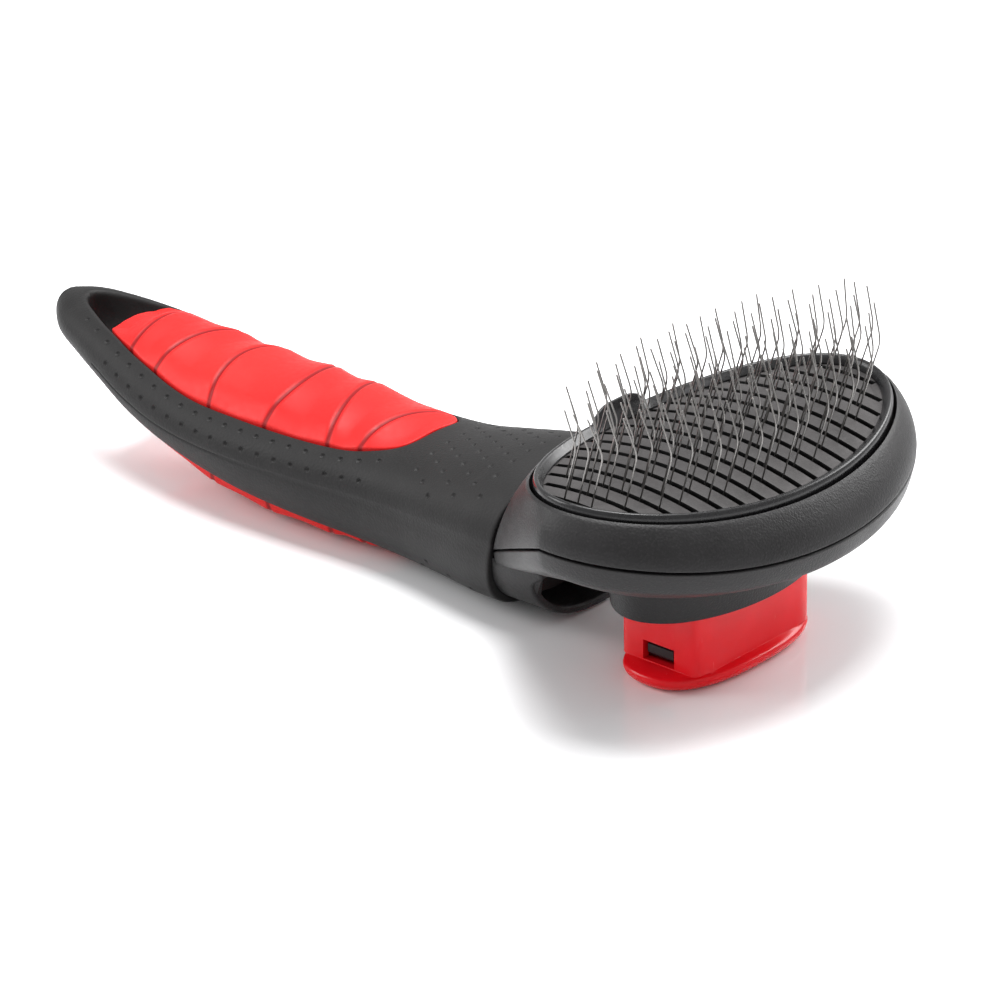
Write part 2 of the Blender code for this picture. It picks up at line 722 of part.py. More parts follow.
def grip_frame(finish):
    """The black grip: the flare, the two side bands and the hanging loop at the tail."""
    obj = add_object("grip_frame", skin([grip_section(x) for x in grip_stations()]), finish)
    combine(obj, helper("grip_opening", outline_prism(OPENING, 0.0)), "DIFFERENCE")
    combine(obj, helper("core_space", plug_and_tang(GAP)), "DIFFERENCE")
    half_y, half_z = FLARE_HOLLOW
    ends = (-30.0, PLUG[0][0] - 0.5)
    hollow = skin([tube_section(x, half_y, NECK_MID_Z, half_z, half_z, count=24) for x in ends])
    combine(obj, helper("flare_hollow", hollow), "DIFFERENCE")
    return obj


def grip_insert(finish):
    """The red soft insert that fills the frame, with a slot for the tang."""
    points = [p for p in OPENING if p[0] > INSERT_END_X + 4]
    points += [(INSERT_END_X + 1.6, 6.2), (INSERT_END_X, 0.0)]
    front = OPENING[0][0]
    loops = []
    for x in grip_stations():
        along = min(max((x - front) / (INSERT_END_X - front), 0.0), 1.0)
        swell = math.sin(math.pi * along) ** 0.8
        proud, under_proud = INSERT_PROUD * swell, INSERT_UNDER_PROUD * swell
        loops.append(grip_section(x, INSERT_NARROW, proud, under_proud, INSERT_SHAPE))
    obj = add_object("grip_insert", skin(loops), finish)
    combine(obj, helper("insert_outline", outline_prism(points, GAP)), "INTERSECT")
    combine(obj, helper("tang_space", plug_and_tang(GAP)), "DIFFERENCE")
    return obj


def moving_group(objects):
    """Parents the moving pieces to an empty on the axis that the button slides along."""
    axis = bpy.data.objects.new("button_axis", None)
    bpy.context.scene.collection.objects.link(axis)
    for obj in objects:
        obj.parent = axis


def main():
    clear_scene()
    shell = material("charcoal_plastic", (0.045, 0.044, 0.046), 0.45)
    rubber = material("black_rubber", (0.035, 0.034, 0.035), 0.6)
    soft_red = material("red_rubber", (0.80, 0.035, 0.03), 0.5)
    gloss_red = material("red_plastic", (0.62, 0.01, 0.02), 0.3)
    grey = material("grey_plastic", (0.10, 0.095, 0.097), 0.55)
    rim_black = material("rim_plastic", (0.03, 0.03, 0.031), 0.35)
    steel = material("steel", (0.62, 0.61, 0.60), 0.28, 1.0)
    core = material("core_plastic", (0.05, 0.05, 0.052), 0.5)
    upper_housing(shell)
    lower_shell(shell)
    pin_plate(core)
    for row in range(ROWS):
        pin_row(row, steel)
    screws(steel)
    handle_core(core)
    grip_frame(rubber)
    grip_insert(soft_red)
    return_spring(steel)
    moving_group([cleaning_plate(grey), plate_rim(rim_black), *push_legs(core), release_button(gloss_red)])


main()
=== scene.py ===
"""Looks of the pet slicker brush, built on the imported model's frame.

Lengths below are in millimetres, and MM turns them into metres when a mesh is made.
Every piece stands for a CAD node of the frame and rides on its body.
"""

import math

import bmesh
import bpy
import numpy as np
from mathutils import Matrix, Vector


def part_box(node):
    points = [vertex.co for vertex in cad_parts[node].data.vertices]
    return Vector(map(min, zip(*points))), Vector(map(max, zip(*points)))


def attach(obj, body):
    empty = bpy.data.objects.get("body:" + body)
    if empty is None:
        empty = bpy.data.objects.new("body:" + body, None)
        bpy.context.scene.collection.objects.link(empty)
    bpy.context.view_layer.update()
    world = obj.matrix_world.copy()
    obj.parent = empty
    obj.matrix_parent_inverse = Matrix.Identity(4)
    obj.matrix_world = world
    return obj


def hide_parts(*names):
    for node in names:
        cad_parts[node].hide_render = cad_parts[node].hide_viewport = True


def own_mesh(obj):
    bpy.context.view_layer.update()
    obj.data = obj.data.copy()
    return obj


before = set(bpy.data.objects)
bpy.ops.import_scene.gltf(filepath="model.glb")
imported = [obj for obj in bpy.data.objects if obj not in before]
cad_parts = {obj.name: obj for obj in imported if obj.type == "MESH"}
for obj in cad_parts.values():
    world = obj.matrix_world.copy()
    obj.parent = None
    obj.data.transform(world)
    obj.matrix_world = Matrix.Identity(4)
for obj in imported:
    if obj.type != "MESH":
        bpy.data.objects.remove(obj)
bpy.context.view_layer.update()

MM = 0.001
GAP = 0.3  # clearance between neighbouring pieces
WELD = 1e-7  # metres; nearer points become one
TURNED_SIDES = 32

FLOOR = (4.0, -0.0002)  # metres; half its width, and its height

# Camera
CAMERA_FROM = (512.3, -621.5, 401.6)
CAMERA_AIM = (-38.4, -15.8, 24.5)
CAMERA_ROLL = -1.17
CAMERA_LENS = 176.4

# Head: half length along Y, half width along X and height of each edge
STEPS = 288  # points round the head
HEAD_ANGLES = [360.0 * i / STEPS for i in range(STEPS)]
FACE_BEND = 0.0065  # the face drops by this times x squared
HOUSING_EDGE = (43.0, 25.3, 43.0)
HOUSING_LIP = (42.4, 24.7, 43.3)
PARTING = (45.7, 29.2, 36.0)
PARTING_BEND = 0.006
PARTING_GAP = 0.5
TONGUE = ((3.4, 0.9), (2.7, 0.9), (2.7, -0.25), (2.0, -0.25))  # inward and up from the parting line
SKIRT_BULGE = 0.8
WALL = 2.0
LEDGE = (37.6, 19.6, 36.4)
LEDGE_THICK = 1.0

# Neck
NECK_X = -36.7
NECK_HALF_WIDTH = 19.6
NECK_MID_Z = 16.0
NECK_TOP_Z = 29.6
NECK_BOTTOM_Z = 0.3
NECK_LEAN = 0.19
SHOULDER_START = 95.0
SHOULDER_END = 125.0

# Lower shell
BAND_DROP = 4.5
NECK_BAND_DROP = 3.0
BAND_INSET = 0.9
NECK_BAND_INSET = 0.3
FLOOR_EDGE = (2.4, 1.9)  # the floor's edge, inward from the parting line and up from the band
BORE_CLEARANCE = 0.35
COLLAR = (24.7, 13.9)
COLLAR_TOP_Z = 21.6
COLLAR_BOTTOM_Z = 15.4
BORE_TOP_Z = 24.5
CUP_WALL = 1.6
CUP_RIM_X = -28.3
CUP_CEILING_Z = 12.9
CUP_FILLET = 3.2
POCKET = (17.0, 12.2)
POCKET_END_X = -47.0
POCKET_WALL = 1.6
SCREW_PLACES = ((9.5, 24.5), (-9.5, 24.5), (9.5, -24.5), (-9.5, -24.5))
SCREW_HEAD = 2.3
SCREW_HOLE = 1.5
TOWER = (4.0, 25.0, 31.5)
SEAT_Z = 27.5

# Pins
PIN_RADIUS = 0.16
PIN_SIDES = 8
PIN_BEND = 0.45  # how far a tip may be bent out of line
KNEE_RADIUS = 1.6

# Cleaning plate and its rim
ROWS = 18
ROW_PITCH = 4.43
PLATE = (40.2, 22.4, 42.6)
PLATE_THICK = 1.5
SLOT_WIDTH = 1.3
SLOT_FIELD = (39.6, 21.5)
RIM_CREST = (41.2, 23.4, 44.7)
TAB_RISE = 2.8
TAB_HALF_WIDTH = 7.2

# Button and spring
STEM = (16.3, 9.2)
STEM_SHAPE = 16.0
STEM_TOP_Z = 23.6
STEM_WALL = 1.6
FLANGE = (20.8, 11.4)
FLANGE_SHAPE = 2.5
FLANGE_TOP_Z = 3.0
FLANGE_HULL = ((2.6, 0.0), (1.6, 0.12), (0.9, 0.45), (0.4, 0.95), (0.1, 1.5), (0.0, 2.0),
               (0.1, 2.35), (0.35, 2.65), (0.75, 2.85))  # inward from the flange's outline, and height
FLOOR_TOP_Z = 2.4
WINDOW = (7.3, 3.3, 7.1)
SPRING_RADIUS = 5.2
SPRING_WIRE = 0.55
SPRING_TURNS = 7
SPRING_EASE = 0.06  # draws the end coils closer
SPRING_ENDS = (3.25, 36.65)
SPRING_POST = ((3.5, 1.4), (3.5, 6.5), (2.8, 7.2))  # radius and height

# Handle: x, half width, height of the widest line, rise above it, drop below it,
# and how square the underside is
GRIP = (
    (-37.0, 20.6, 17.0, 13.2, 16.7, 2.8),
    (-44.0, 20.1, 16.4, 13.2, 16.2, 2.8),
    (-54.0, 18.6, 15.5, 11.9, 14.9, 2.8),
    (-64.0, 17.2, 14.9, 10.4, 14.2, 2.8),
    (-76.0, 16.9, 14.6, 9.7, 13.4, 2.8),
    (-92.0, 18.0, 14.3, 9.3, 12.7, 2.6),
    (-108.0, 18.6, 14.2, 9.3, 12.2, 2.2),
    (-120.0, 18.0, 14.4, 9.5, 10.9, 2.0),
    (-130.0, 17.0, 15.4, 9.8, 9.2, 2.0),
    (-140.0, 15.2, 17.5, 9.5, 8.2, 2.0),
    (-149.0, 12.9, 20.0, 8.0, 6.9, 2.0),
    (-158.0, 10.2, 22.3, 6.2, 5.8, 2.0),
    (-165.0, 7.4, 23.6, 4.9, 4.8, 2.0),
    (-171.0, 2.4, 24.3, 3.2, 3.0, 2.0),
)
GRIP_SHAPE = 2.2
LEAN_END_X = -63.0
TAIL_ROUND = 2.2
CREASE_DEPTH = 0.16  # the moulding line along the widest place
CREASE_END_X = -150.0
FLARE_FACE = ((0.16, 0.0), (0.14, 0.3), (0.022, 0.3), (0.008, 0.2))  # share of the way in, and forward
OPENING = (  # x and half width
    (-68.6, 0.0), (-69.8, 7.4), (-76.6, 11.2), (-86.0, 12.9), (-102.0, 13.7), (-117.4, 13.6),
    (-126.3, 12.9), (-133.7, 11.7), (-141.3, 10.2), (-148.7, 7.9), (-155.5, 5.3), (-161.0, 2.6),
    (-163.0, 0.0),
)
INSERT_END_X = -150.5
INSERT_PROUD = 3.4
INSERT_NARROW = 0.93
OPENING_LIP = 0.7
LOOP_LIP = 1.3
INSERT_UNDER_PROUD = 1.4
INSERT_LIP = 0.3
INSERT_SUNK = 0.05
INSERT_BLEND = (4.0, 0.8)  # width of the blend into the grip's skin, above and below
INSERT_TAIL = (14.0, 0.55)  # how long the tail end's slope is, and how high it starts

# Grooves across the insert: x at the near edge, in the middle and at the far edge
GROOVES = (
    (-141.0, -142.5, -144.6),
    (-133.4, -131.0, -128.6),
    (-116.8, -119.2, -117.4),
    (-101.5, -101.4, -105.8),
    (-85.4, -89.9, -94.2),
    (-78.2, -76.2, -70.6),
)
GROOVE_EDGE_Y = 13.0
GROOVE_WIDTH = 0.75
GROOVE_DEPTH = 0.55
HUMP = 0.9
RELIEF_FADE = 2.5  # the humps and grooves are shallower this near to the insert's edge

# Dimples in the black grip
DIMPLE_RADIUS = 0.55
DIMPLE_DEPTH = 0.34
DIMPLE_PITCH = 4.2
DIMPLE_LANES = ((0.26, -72.0, -158.0), (0.66, -74.1, -146.0))  # share of the way down, first and last x
DIMPLE_LINES = (7, -43.5, 3.1)  # lines on the flare, the first one's x and their spacing
DIMPLE_MARGIN = 2.2  # bare rubber round the opening


# --- meshes ---


def mesh_of(name, points, faces, welded):
    """A mesh of points in millimetres, with its faces outward and, if welded, no double points."""
    mesh = bpy.data.meshes.new(name)
    mesh.from_pydata((np.asarray(points, float) * MM).tolist(), [], faces)
    bm = bmesh.new()
    bm.from_mesh(mesh)
    if welded:
        bmesh.ops.remove_doubles(bm, verts=bm.verts, dist=WELD)
    bmesh.ops.recalc_face_normals(bm, faces=bm.faces)
    bm.to_mesh(mesh)
    bm.free()
    return mesh


def piece(name, points, faces, finish, body, slot, *nodes, sharp=35.0):
    """Makes a piece which rides on a body and stands for some nodes."""
    mesh = mesh_of(name, points, faces, welded=True)
    return finished(name, mesh, finish, body, slot, *nodes, sharp=sharp)


def placed(name, data):
    """A new object in the scene."""
    obj = bpy.data.objects.new(name, data)
    bpy.context.scene.collection.objects.link(obj)
    return obj


def finished(name, mesh, finish, body, slot, *nodes, sharp=35.0):
    """Turns a mesh into a piece, shaded smooth between its sharp edges."""
    mesh.shade_smooth()
    mesh.set_sharp_from_angle(angle=math.radians(sharp))
    mesh.materials.append(finish)
    obj = placed(name, mesh)
    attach(obj, body)
    if nodes:
        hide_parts(*nodes)
    return obj


def skin(loops, ring=False):
    """Points and faces that join equal loops into a ring, or into a solid with two caps."""
    loops = [np.asarray(loop, float) for loop in loops]
    count, size = len(loops), len(loops[0])
    points = np.concatenate(loops)
    faces = []
    for row in range(count if ring else count - 1):
        low, high = row * size, (row + 1) % count * size
        for i in range(size):
            j = (i + 1) % size
            faces.append((low + i, low + j, high + j, high + i))
    if not ring:
        faces += [tuple(range(size)), tuple(range((count - 1) * size, count * size))]
    return points, faces


def rounded(loops, radii, spans=4):
    """Turns each corner loop with a radius into a short curve between its neighbours."""
    loops = [np.asarray(loop, float) for loop in loops]
    made = []
    count = len(loops)
    for i, (loop, radius) in enumerate(zip(loops, radii)):
        if radius == 0:
            made.append(loop)
            continue
        ends = []
        for other in (loops[i - 1], loops[(i + 1) % count]):
            way = other - loop
            length = np.linalg.norm(way, axis=1, keepdims=True)
            ends.append(loop + way / length * np.minimum(radius, length * 0.48))
        for k in range(spans + 1):
            t = k / spans
            made.append((1 - t) ** 2 * ends[0] + 2 * t * (1 - t) * loop + t**2 * ends[1])
    return made


def soften(obj, width, segments):
    """Bevels the sharp edges of an object."""
    soft = obj.modifiers.new("edges", "BEVEL")
    soft.width = width * MM
    soft.segments = segments
    soft.limit_method = "ANGLE"
    soft.angle_limit = math.radians(40)


def merged(parts):
    """Several shapes as one."""
    points, faces = [], []
    for some_points, some_faces in parts:
        base = len(points)
        points.extend(np.asarray(some_points, float).tolist())
        faces.extend(tuple(base + i for i in face) for face in some_faces)
    return points, faces


def carved(base, steps):
    """The mesh of base after boolean steps of (operation, shape)."""
    shapes = [base, *(shape for _, shape in steps)]
    made = [placed("base", mesh_of("base", *shape, welded=False)) for shape in shapes]
    for (operation, _), other in zip(steps, made[1:]):
        modifier = made[0].modifiers.new("step", "BOOLEAN")
        modifier.operation = operation
        modifier.solver = "EXACT"
        modifier.object = other
    bpy.context.view_layer.update()
    graph = bpy.context.evaluated_depsgraph_get()
    mesh = bpy.data.meshes.new_from_object(made[0].evaluated_get(graph))
    for obj in made:
        bpy.data.objects.remove(obj)
    return mesh


def box(low, high):
    """A box between two opposite corners."""
    (x0, y0, z0), (x1, y1, z1) = low, high
    return skin([[(x0, y0, z), (x1, y0, z), (x1, y1, z), (x0, y1, z)] for z in (z0, z1)])


def circle(sides):
    """Cosines and sines of evenly spaced turns."""
    turn = 2 * math.pi * np.arange(sides) / sides
    return np.cos(turn), np.sin(turn)


def turned(profile, at):
    """A solid turned about a vertical axis. profile holds (radius, height) pairs."""
    u, v = circle(TURNED_SIDES)
    loops = [np.stack((at[0] + radius * u, at[1] + radius * v, np.full(TURNED_SIDES, height)), axis=1)
             for radius, height in profile]
    return skin(loops)


# --- shapes of the head ---


def oval(half_y, half_x, degrees, shape=2.0):
    """A point of an oval, counted from +X. A larger shape is boxier."""
    c, s = math.cos(math.radians(degrees)), math.sin(math.radians(degrees))
    x = half_x * math.copysign(abs(c) ** (2 / shape), c)
    y = half_y * math.copysign(abs(s) ** (2 / shape), s)
    return x, y


def lengths(curve):
    """How far each point of a curve is along it."""
    return np.concatenate(([0.0], np.cumsum(np.linalg.norm(np.diff(curve, axis=0), axis=1))))


def spread(curve, count):
    """The points that split a flat curve into even parts."""
    along = lengths(curve)
    wanted = along[-1] * np.arange(count + 1) / count
    return np.stack([np.interp(wanted, along, values) for values in curve.T], axis=1)


def flat_loop(half_y, half_x, z, shape=2.0):
    """A flat oval loop. The points of a boxy one are evenly spaced."""
    if shape == 2.0:
        return np.array([(*oval(half_y, half_x, degrees), z) for degrees in HEAD_ANGLES])
    fine = np.array([oval(half_y, half_x, degrees / 8, shape) for degrees in range(2881)])
    return np.column_stack((spread(fine, STEPS)[:-1], np.full(STEPS, float(z))))


def face_loop(half_y, half_x, z):
    """An oval loop that bends down with the face."""
    loop = flat_loop(half_y, half_x, z)
    loop[:, 2] -= FACE_BEND * loop[:, 0] * loop[:, 0]
    return loop


def lean(point):
    """The point, moved forward or back with the slope of the neck's end."""
    return point + Vector((NECK_LEAN * (point.z - GRIP[0][2]), 0, 0))


def parting_point(degrees, inset=0.0, upper=True):
    """A point of the line where the two shells meet: the head's oval, the shoulder, then the neck's end."""
    turn = degrees if degrees <= 180 else 360 - degrees
    side = 1 if degrees <= 180 else -1
    half_y, half_x, top = PARTING
    if turn <= SHOULDER_START:
        x, y = oval(half_y - inset, half_x - inset, turn)
        return Vector((x, side * y, top - PARTING_BEND * x * x))
    start = parting_point(SHOULDER_START, inset)
    corner = lean(Vector((NECK_X, NECK_HALF_WIDTH - inset, NECK_MID_Z)))
    if turn < SHOULDER_END:
        part = (turn - SHOULDER_START) / (SHOULDER_END - SHOULDER_START)
        pull = Vector((-16.0, -1.0, -4.8)) * part * (1 - part) * (1 - part)
        point = start.lerp(corner, part * part * (3 - 2 * part) * 0.35 + part * 0.65) + pull
        return Vector((point.x, side * point.y, point.z))
    rise = 90.0 * (turn - SHOULDER_END) / (180.0 - SHOULDER_END)
    reach = math.cos(math.radians(rise)) * (NECK_HALF_WIDTH - inset)
    if not upper:
        return lean(Vector((NECK_X + inset, side * reach, NECK_MID_Z)))
    height = math.sin(math.radians(rise)) * (NECK_TOP_Z - NECK_MID_Z - inset)
    return lean(Vector((NECK_X, side * reach, NECK_MID_Z + height)))


def parting_loop(inset=0.0, upper=True, raised=0.0):
    """The whole line where the two shells meet."""
    return np.array([parting_point(degrees, inset, upper) for degrees in HEAD_ANGLES]) + (0, 0, raised)


def between(low, high, part, out=0.0, down=0.0):
    """A loop part of the way between two others, pushed away from the head's middle and down."""
    loop = low + (high - low) * part
    away = loop * (1, 1, 0)
    away = away / np.linalg.norm(away, axis=1, keepdims=True)
    return loop + away * out - np.array((0, 0, down))


def upper_housing(finish):
    """The skirt round the head, open below, with a ledge inside that holds the pin plate."""
    edge = face_loop(*HOUSING_EDGE)
    foot = parting_loop(raised=PARTING_GAP / 2)
    half_y, half_x, ledge_z = LEDGE
    well_y, well_x, _ = HOUSING_LIP
    skirt = [between(edge, foot, part, out=SKIRT_BULGE * math.sin(math.pi * part) ** 0.85)
             for part in np.arange(1, 16) / 16]
    loops = [face_loop(*HOUSING_LIP), edge, *skirt, foot,
             parting_loop(inset=WALL, raised=PARTING_GAP / 2),
             face_loop(well_y - 0.6, well_x - 0.6, ledge_z),
             face_loop(half_y, half_x, ledge_z),
             face_loop(half_y, half_x, ledge_z + LEDGE_THICK),
             face_loop(well_y, well_x, ledge_z + LEDGE_THICK)]
    radii = [0.12, 0.4] + [0] * len(skirt) + [0.25, 0.2, 0, 0.2, 0.2, 0]
    piece("housing_top", *skin(rounded(loops, radii), ring=True), finish, "brush_body",
          "charcoal_plastic", "upper_housing")


def neck_section(x, half_width, depth, ceiling_z, leaning=True, fillet=0.0):
    """The neck's lower half at one x. A fillet carries its edge forward under the roof."""
    start = math.degrees(math.asin(((NECK_MID_Z - ceiling_z) / depth) ** (GRIP_SHAPE / 2)))
    loop = []
    for i in range(57):
        y, z = oval(depth, half_width, start + (180 - 2 * start) * i / 56, GRIP_SHAPE)
        point = Vector((x, y, NECK_MID_Z - z))
        near = max(0.0, (point.z - CUP_CEILING_Z + fillet) / fillet) if fillet else 0.0
        point.x += fillet * (1 - math.sqrt(max(0.0, 1 - min(near, 1.0) ** 2)))
        loop.append(tuple(lean(point) if leaning else point))
    return np.array(loop)


def lower_shell(finish):
    """The bowl under the head, the button's collar, and the hollow neck with its pocket."""
    rim = parting_loop(upper=False, raised=-PARTING_GAP / 2)
    band, floor_edge = [], []
    for degrees in HEAD_ANGLES:
        neck = abs(degrees - 180) <= 180 - SHOULDER_END
        near = max(0.0, min(1.0, (abs(180 - abs(degrees - 180)) - SHOULDER_START) / 30.0))
        share = 1.0 if neck else near
        drop = BAND_DROP + (NECK_BAND_DROP - BAND_DROP) * share
        inset = BAND_INSET - (BAND_INSET - NECK_BAND_INSET) * share
        band.append(tuple(parting_point(degrees, inset, upper=False) - Vector((0, 0, drop))))
        floor_drop = Vector((0, 0, drop - FLOOR_EDGE[1]))
        floor_edge.append(tuple(parting_point(degrees, FLOOR_EDGE[0], upper=False) - floor_drop))
    band, floor_edge = np.array(band), np.array(floor_edge)
    collar_top = flat_loop(COLLAR[0] + 0.7, COLLAR[1] + 0.7, COLLAR_TOP_Z)
    bore = (STEM[0] + BORE_CLEARANCE, STEM[1] + BORE_CLEARANCE)
    bowl = [between(band, collar_top, i / 8, down=0.8 * math.sin(math.pi * i / 8)) for i in range(1, 8)]
    loops = [rim, band, *bowl, collar_top, flat_loop(*COLLAR, COLLAR_BOTTOM_Z),
             flat_loop(*bore, COLLAR_BOTTOM_Z, STEM_SHAPE), flat_loop(*bore, BORE_TOP_Z, STEM_SHAPE),
             floor_edge]
    for inset, raised in TONGUE:
        loops.append(parting_loop(inset=inset, upper=False, raised=raised))
    radii = [0.3, 1.6] + [0] * len(bowl) + [0.5, 0.4, 0.25, 0, 0] + [0.15, 0.15, 0, 0]
    depth = NECK_MID_Z - NECK_BOTTOM_Z
    roof = CUP_CEILING_Z + 1.5
    outer = [neck_section(NECK_X, NECK_HALF_WIDTH, depth, roof)]
    for back, shrink in ((0.8, 0.0), (0.35, 0.1), (0.1, 0.28), (0.0, 0.5)):
        outer.append(neck_section(CUP_RIM_X - back, NECK_HALF_WIDTH - shrink, depth - shrink, roof, False,
                                  CUP_FILLET))
    pocket = [neck_section(x, *POCKET, roof, x > NECK_X) for x in (POCKET_END_X, NECK_X + 1)]
    inner = [size - POCKET_WALL for size in POCKET]
    mouth = (NECK_HALF_WIDTH - CUP_WALL, depth - CUP_WALL)
    hollow = [neck_section(POCKET_END_X + POCKET_WALL, *inner, CUP_CEILING_Z, False),
              neck_section(NECK_X + 0.3, *inner, CUP_CEILING_Z),
              neck_section(NECK_X + 2.0, *mouth, CUP_CEILING_Z)]
    for back, grow in ((0.7, 0.0), (0.3, 0.1), (0.08, 0.3), (-2.0, 0.5)):
        hollow.append(neck_section(CUP_RIM_X - back, mouth[0] + grow, mouth[1] + grow, CUP_CEILING_Z,
                                   False, CUP_FILLET))
    radius, low, high = TOWER
    towers = merged([turned([(radius, low), (radius, high)], at) for at in SCREW_PLACES])
    seat = SCREW_HEAD + GAP
    drill = [(seat, low - 8), (seat, SEAT_Z), (SCREW_HOLE, SEAT_Z), (SCREW_HOLE, high + 1)]
    holes = merged([turned(drill, at) for at in SCREW_PLACES])
    mesh = carved(skin(rounded(loops, radii), ring=True),
                  [("UNION", skin(outer)), ("UNION", skin(pocket)), ("DIFFERENCE", skin(hollow)),
                   ("UNION", towers), ("DIFFERENCE", holes)])
    finished("housing_bottom", mesh, finish, "brush_body", "charcoal_plastic", "lower_shell")


# --- cleaner: plate, rim, button, spring ---


def field_half(field, y):
    half_y, half_x = field
    return half_x * math.sqrt(max(0.0, 1 - (y / half_y) ** 2))


def row_y(row):
    return (row - (ROWS - 1) / 2) * ROW_PITCH


def cleaning_plate(finish):
    """The slotted plate: a grid of lines along X, left out where the slots are."""
    half_y, half_x, top = PLATE
    end = half_y * 0.9995
    first = row_y(0) - SLOT_WIDTH / 2
    lines = [(-end + (first + end) * i / 5, None) for i in range(5)]
    for row in range(ROWS):
        y = row_y(row)
        half = field_half(SLOT_FIELD, y)
        lines += [(y - SLOT_WIDTH / 2, half), (y + SLOT_WIDTH / 2, half)]
    lines += [(-y, None) for y, _ in lines[4::-1]]
    inner = 40
    points, faces = [], []
    for y, half in lines:
        outer = field_half((half_y, half_x), y)
        across = half if half is not None else min(outer * 0.9, field_half(SLOT_FIELD, row_y(0)))
        xs = [-outer] + [across * (2 * i / inner - 1) for i in range(inner + 1)] + [outer]
        points += [(x, y, top - FACE_BEND * x * x) for x in xs]
    size = inner + 3
    for row in range(len(lines) - 1):
        (y, half), (next_y, next_half) = lines[row], lines[row + 1]
        slot_row = half is not None and half == next_half and next_y - y < SLOT_WIDTH + 0.01
        for i in range(size - 1):
            if slot_row and 0 < i < size - 2:
                continue
            a = row * size + i
            faces.append((a, a + 1, a + size + 1, a + size))
    obj = piece("comb_plate", points, faces, finish, "cleaner", "grey_plastic", "cleaning_plate")
    solid = obj.modifiers.new("thickness", "SOLIDIFY")
    solid.thickness = PLATE_THICK * MM
    solid.offset = -1.0
    soften(obj, 0.14, 2)


def tab_rise(degrees, y):
    if abs(degrees - 180) > 60 or abs(y) >= TAB_HALF_WIDTH:
        return 0.0
    return TAB_RISE * (1 - (y / TAB_HALF_WIDTH) ** 4)


def plate_rim(finish):
    """The ring round the plate, with a tab that rises at the neck."""
    half_y, half_x, crest = RIM_CREST
    outer_y, outer_x = half_y + 0.6, half_x + 0.6
    plate_y, plate_x, plate_top = PLATE
    shelf = plate_top - PLATE_THICK - GAP
    sections = (
        (outer_y, outer_x, crest - 5.8, 0.0, 0.2),
        (outer_y, outer_x, crest - 0.8, 0.7, 0.3),
        (half_y + 0.3, half_x + 0.3, crest - 0.15, 1.0, 0.3),
        (half_y - 0.3, half_x - 0.3, crest - 0.15, 1.0, 0.3),
        (plate_y + 0.2, plate_x + 0.2, crest - 0.75, 0.5, 0.4),
        (plate_y - 0.05, plate_x - 0.9, plate_top + 0.35, 0.0, 0.12),
        (plate_y - 0.05, plate_x - 0.9, plate_top + 0.08, 0.0, 0),
        (plate_y + 0.35, plate_x + 0.35, plate_top + 0.08, 0.0, 0),
        (plate_y + 0.35, plate_x + 0.35, shelf, 0.0, 0),
        (plate_y - 0.6, plate_x - 0.6, shelf, 0.0, 0),
        (plate_y - 0.6, plate_x - 0.6, shelf - 0.9, 0.0, 0.2),
        (plate_y + 0.2, plate_x + 0.2, shelf - 0.9, 0.0, 0),
        (plate_y + 0.2, plate_x + 0.2, crest - 5.8, 0.0, 0.2),
    )
    loops = []
    for section_y, section_x, z, share, _ in sections:
        loop = face_loop(section_y, section_x, z)
        for degrees, point in zip(HEAD_ANGLES, loop):
            point[2] += share * tab_rise(degrees, point[1])
        loops.append(loop)
    shape = skin(rounded(loops, [section[4] for section in sections]), ring=True)
    piece("comb_rim", *shape, finish, "cleaner", "rim_plastic", "plate_rim")


def button(finish):
    """The red button: a hollow stem with two windows on a flange, and a post for the spring."""
    inner = (STEM[0] - STEM_WALL, STEM[1] - STEM_WALL)
    hull = [flat_loop(FLANGE[0] - inward, FLANGE[1] - inward, z, FLANGE_SHAPE) for inward, z in FLANGE_HULL]
    walls = ((STEM, FLANGE_TOP_Z + 0.1), (STEM, STEM_TOP_Z), (inner, STEM_TOP_Z), (inner, FLOOR_TOP_Z))
    loops = hull + [flat_loop(*size, z, STEM_SHAPE) for size, z in walls]
    radii = [0] * len(hull) + [0.12, 0.3, 0.3, 0]
    boss = turned(SPRING_POST, (0, 0))
    width, low, high = WINDOW
    windows = []
    for side in (-1, 1):
        near, far = sorted((side * (STEM[0] - STEM_WALL - 1), side * (STEM[0] + 1)))
        windows.append(box((-width / 2, near, low), (width / 2, far, high)))
    mesh = carved(skin(rounded(loops, radii)), [("UNION", boss), ("DIFFERENCE", merged(windows))])
    finished("push_button", mesh, finish, "cleaner", "red_plastic", "release_button")


def spring(finish):
    low, high = SPRING_ENDS
    per_turn = 48
    count = SPRING_TURNS * per_turn
    u, v = circle(12)
    loops = []
    for i in range(count + 1):
        angle = 2 * math.pi * i / per_turn
        outward = np.array((math.cos(angle), math.sin(angle), 0))
        part = i / count
        eased = part - SPRING_EASE * math.sin(2 * math.pi * part)
        centre = outward * SPRING_RADIUS + np.array((0, 0, low + (high - low) * eased))
        loops.append(centre + SPRING_WIRE * (np.outer(u, outward) + np.outer(v, (0, 0, 1))))
    obj = piece("coil_spring", *skin(loops), finish, "brush_body", "steel", "return_spring")
    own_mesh(obj)


# --- pins ---


def pin_paths(node):
    """Foot, knee and tip of each pin of a row, read off the node's corners."""
    low, high = (np.array(corner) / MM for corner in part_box(node))
    corners = np.array([v.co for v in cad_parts[node].data.vertices]) / MM
    rings = []
    for bottom, top in ((low[2] - 1, low[2] + 6), (low[2] + 10, low[2] + 18.4), (low[2] + 18.4, high[2] + 1)):
        chosen = corners[(corners[:, 2] > bottom) & (corners[:, 2] < top)]
        chosen = chosen[np.argsort(chosen[:, 0])]
        groups = np.split(chosen, np.nonzero(np.diff(chosen[:, 0]) > 1.0)[0] + 1)
        rings.append([group.max(axis=0) * 0.5 + group.min(axis=0) * 0.5 for group in groups])
    return list(zip(*rings))


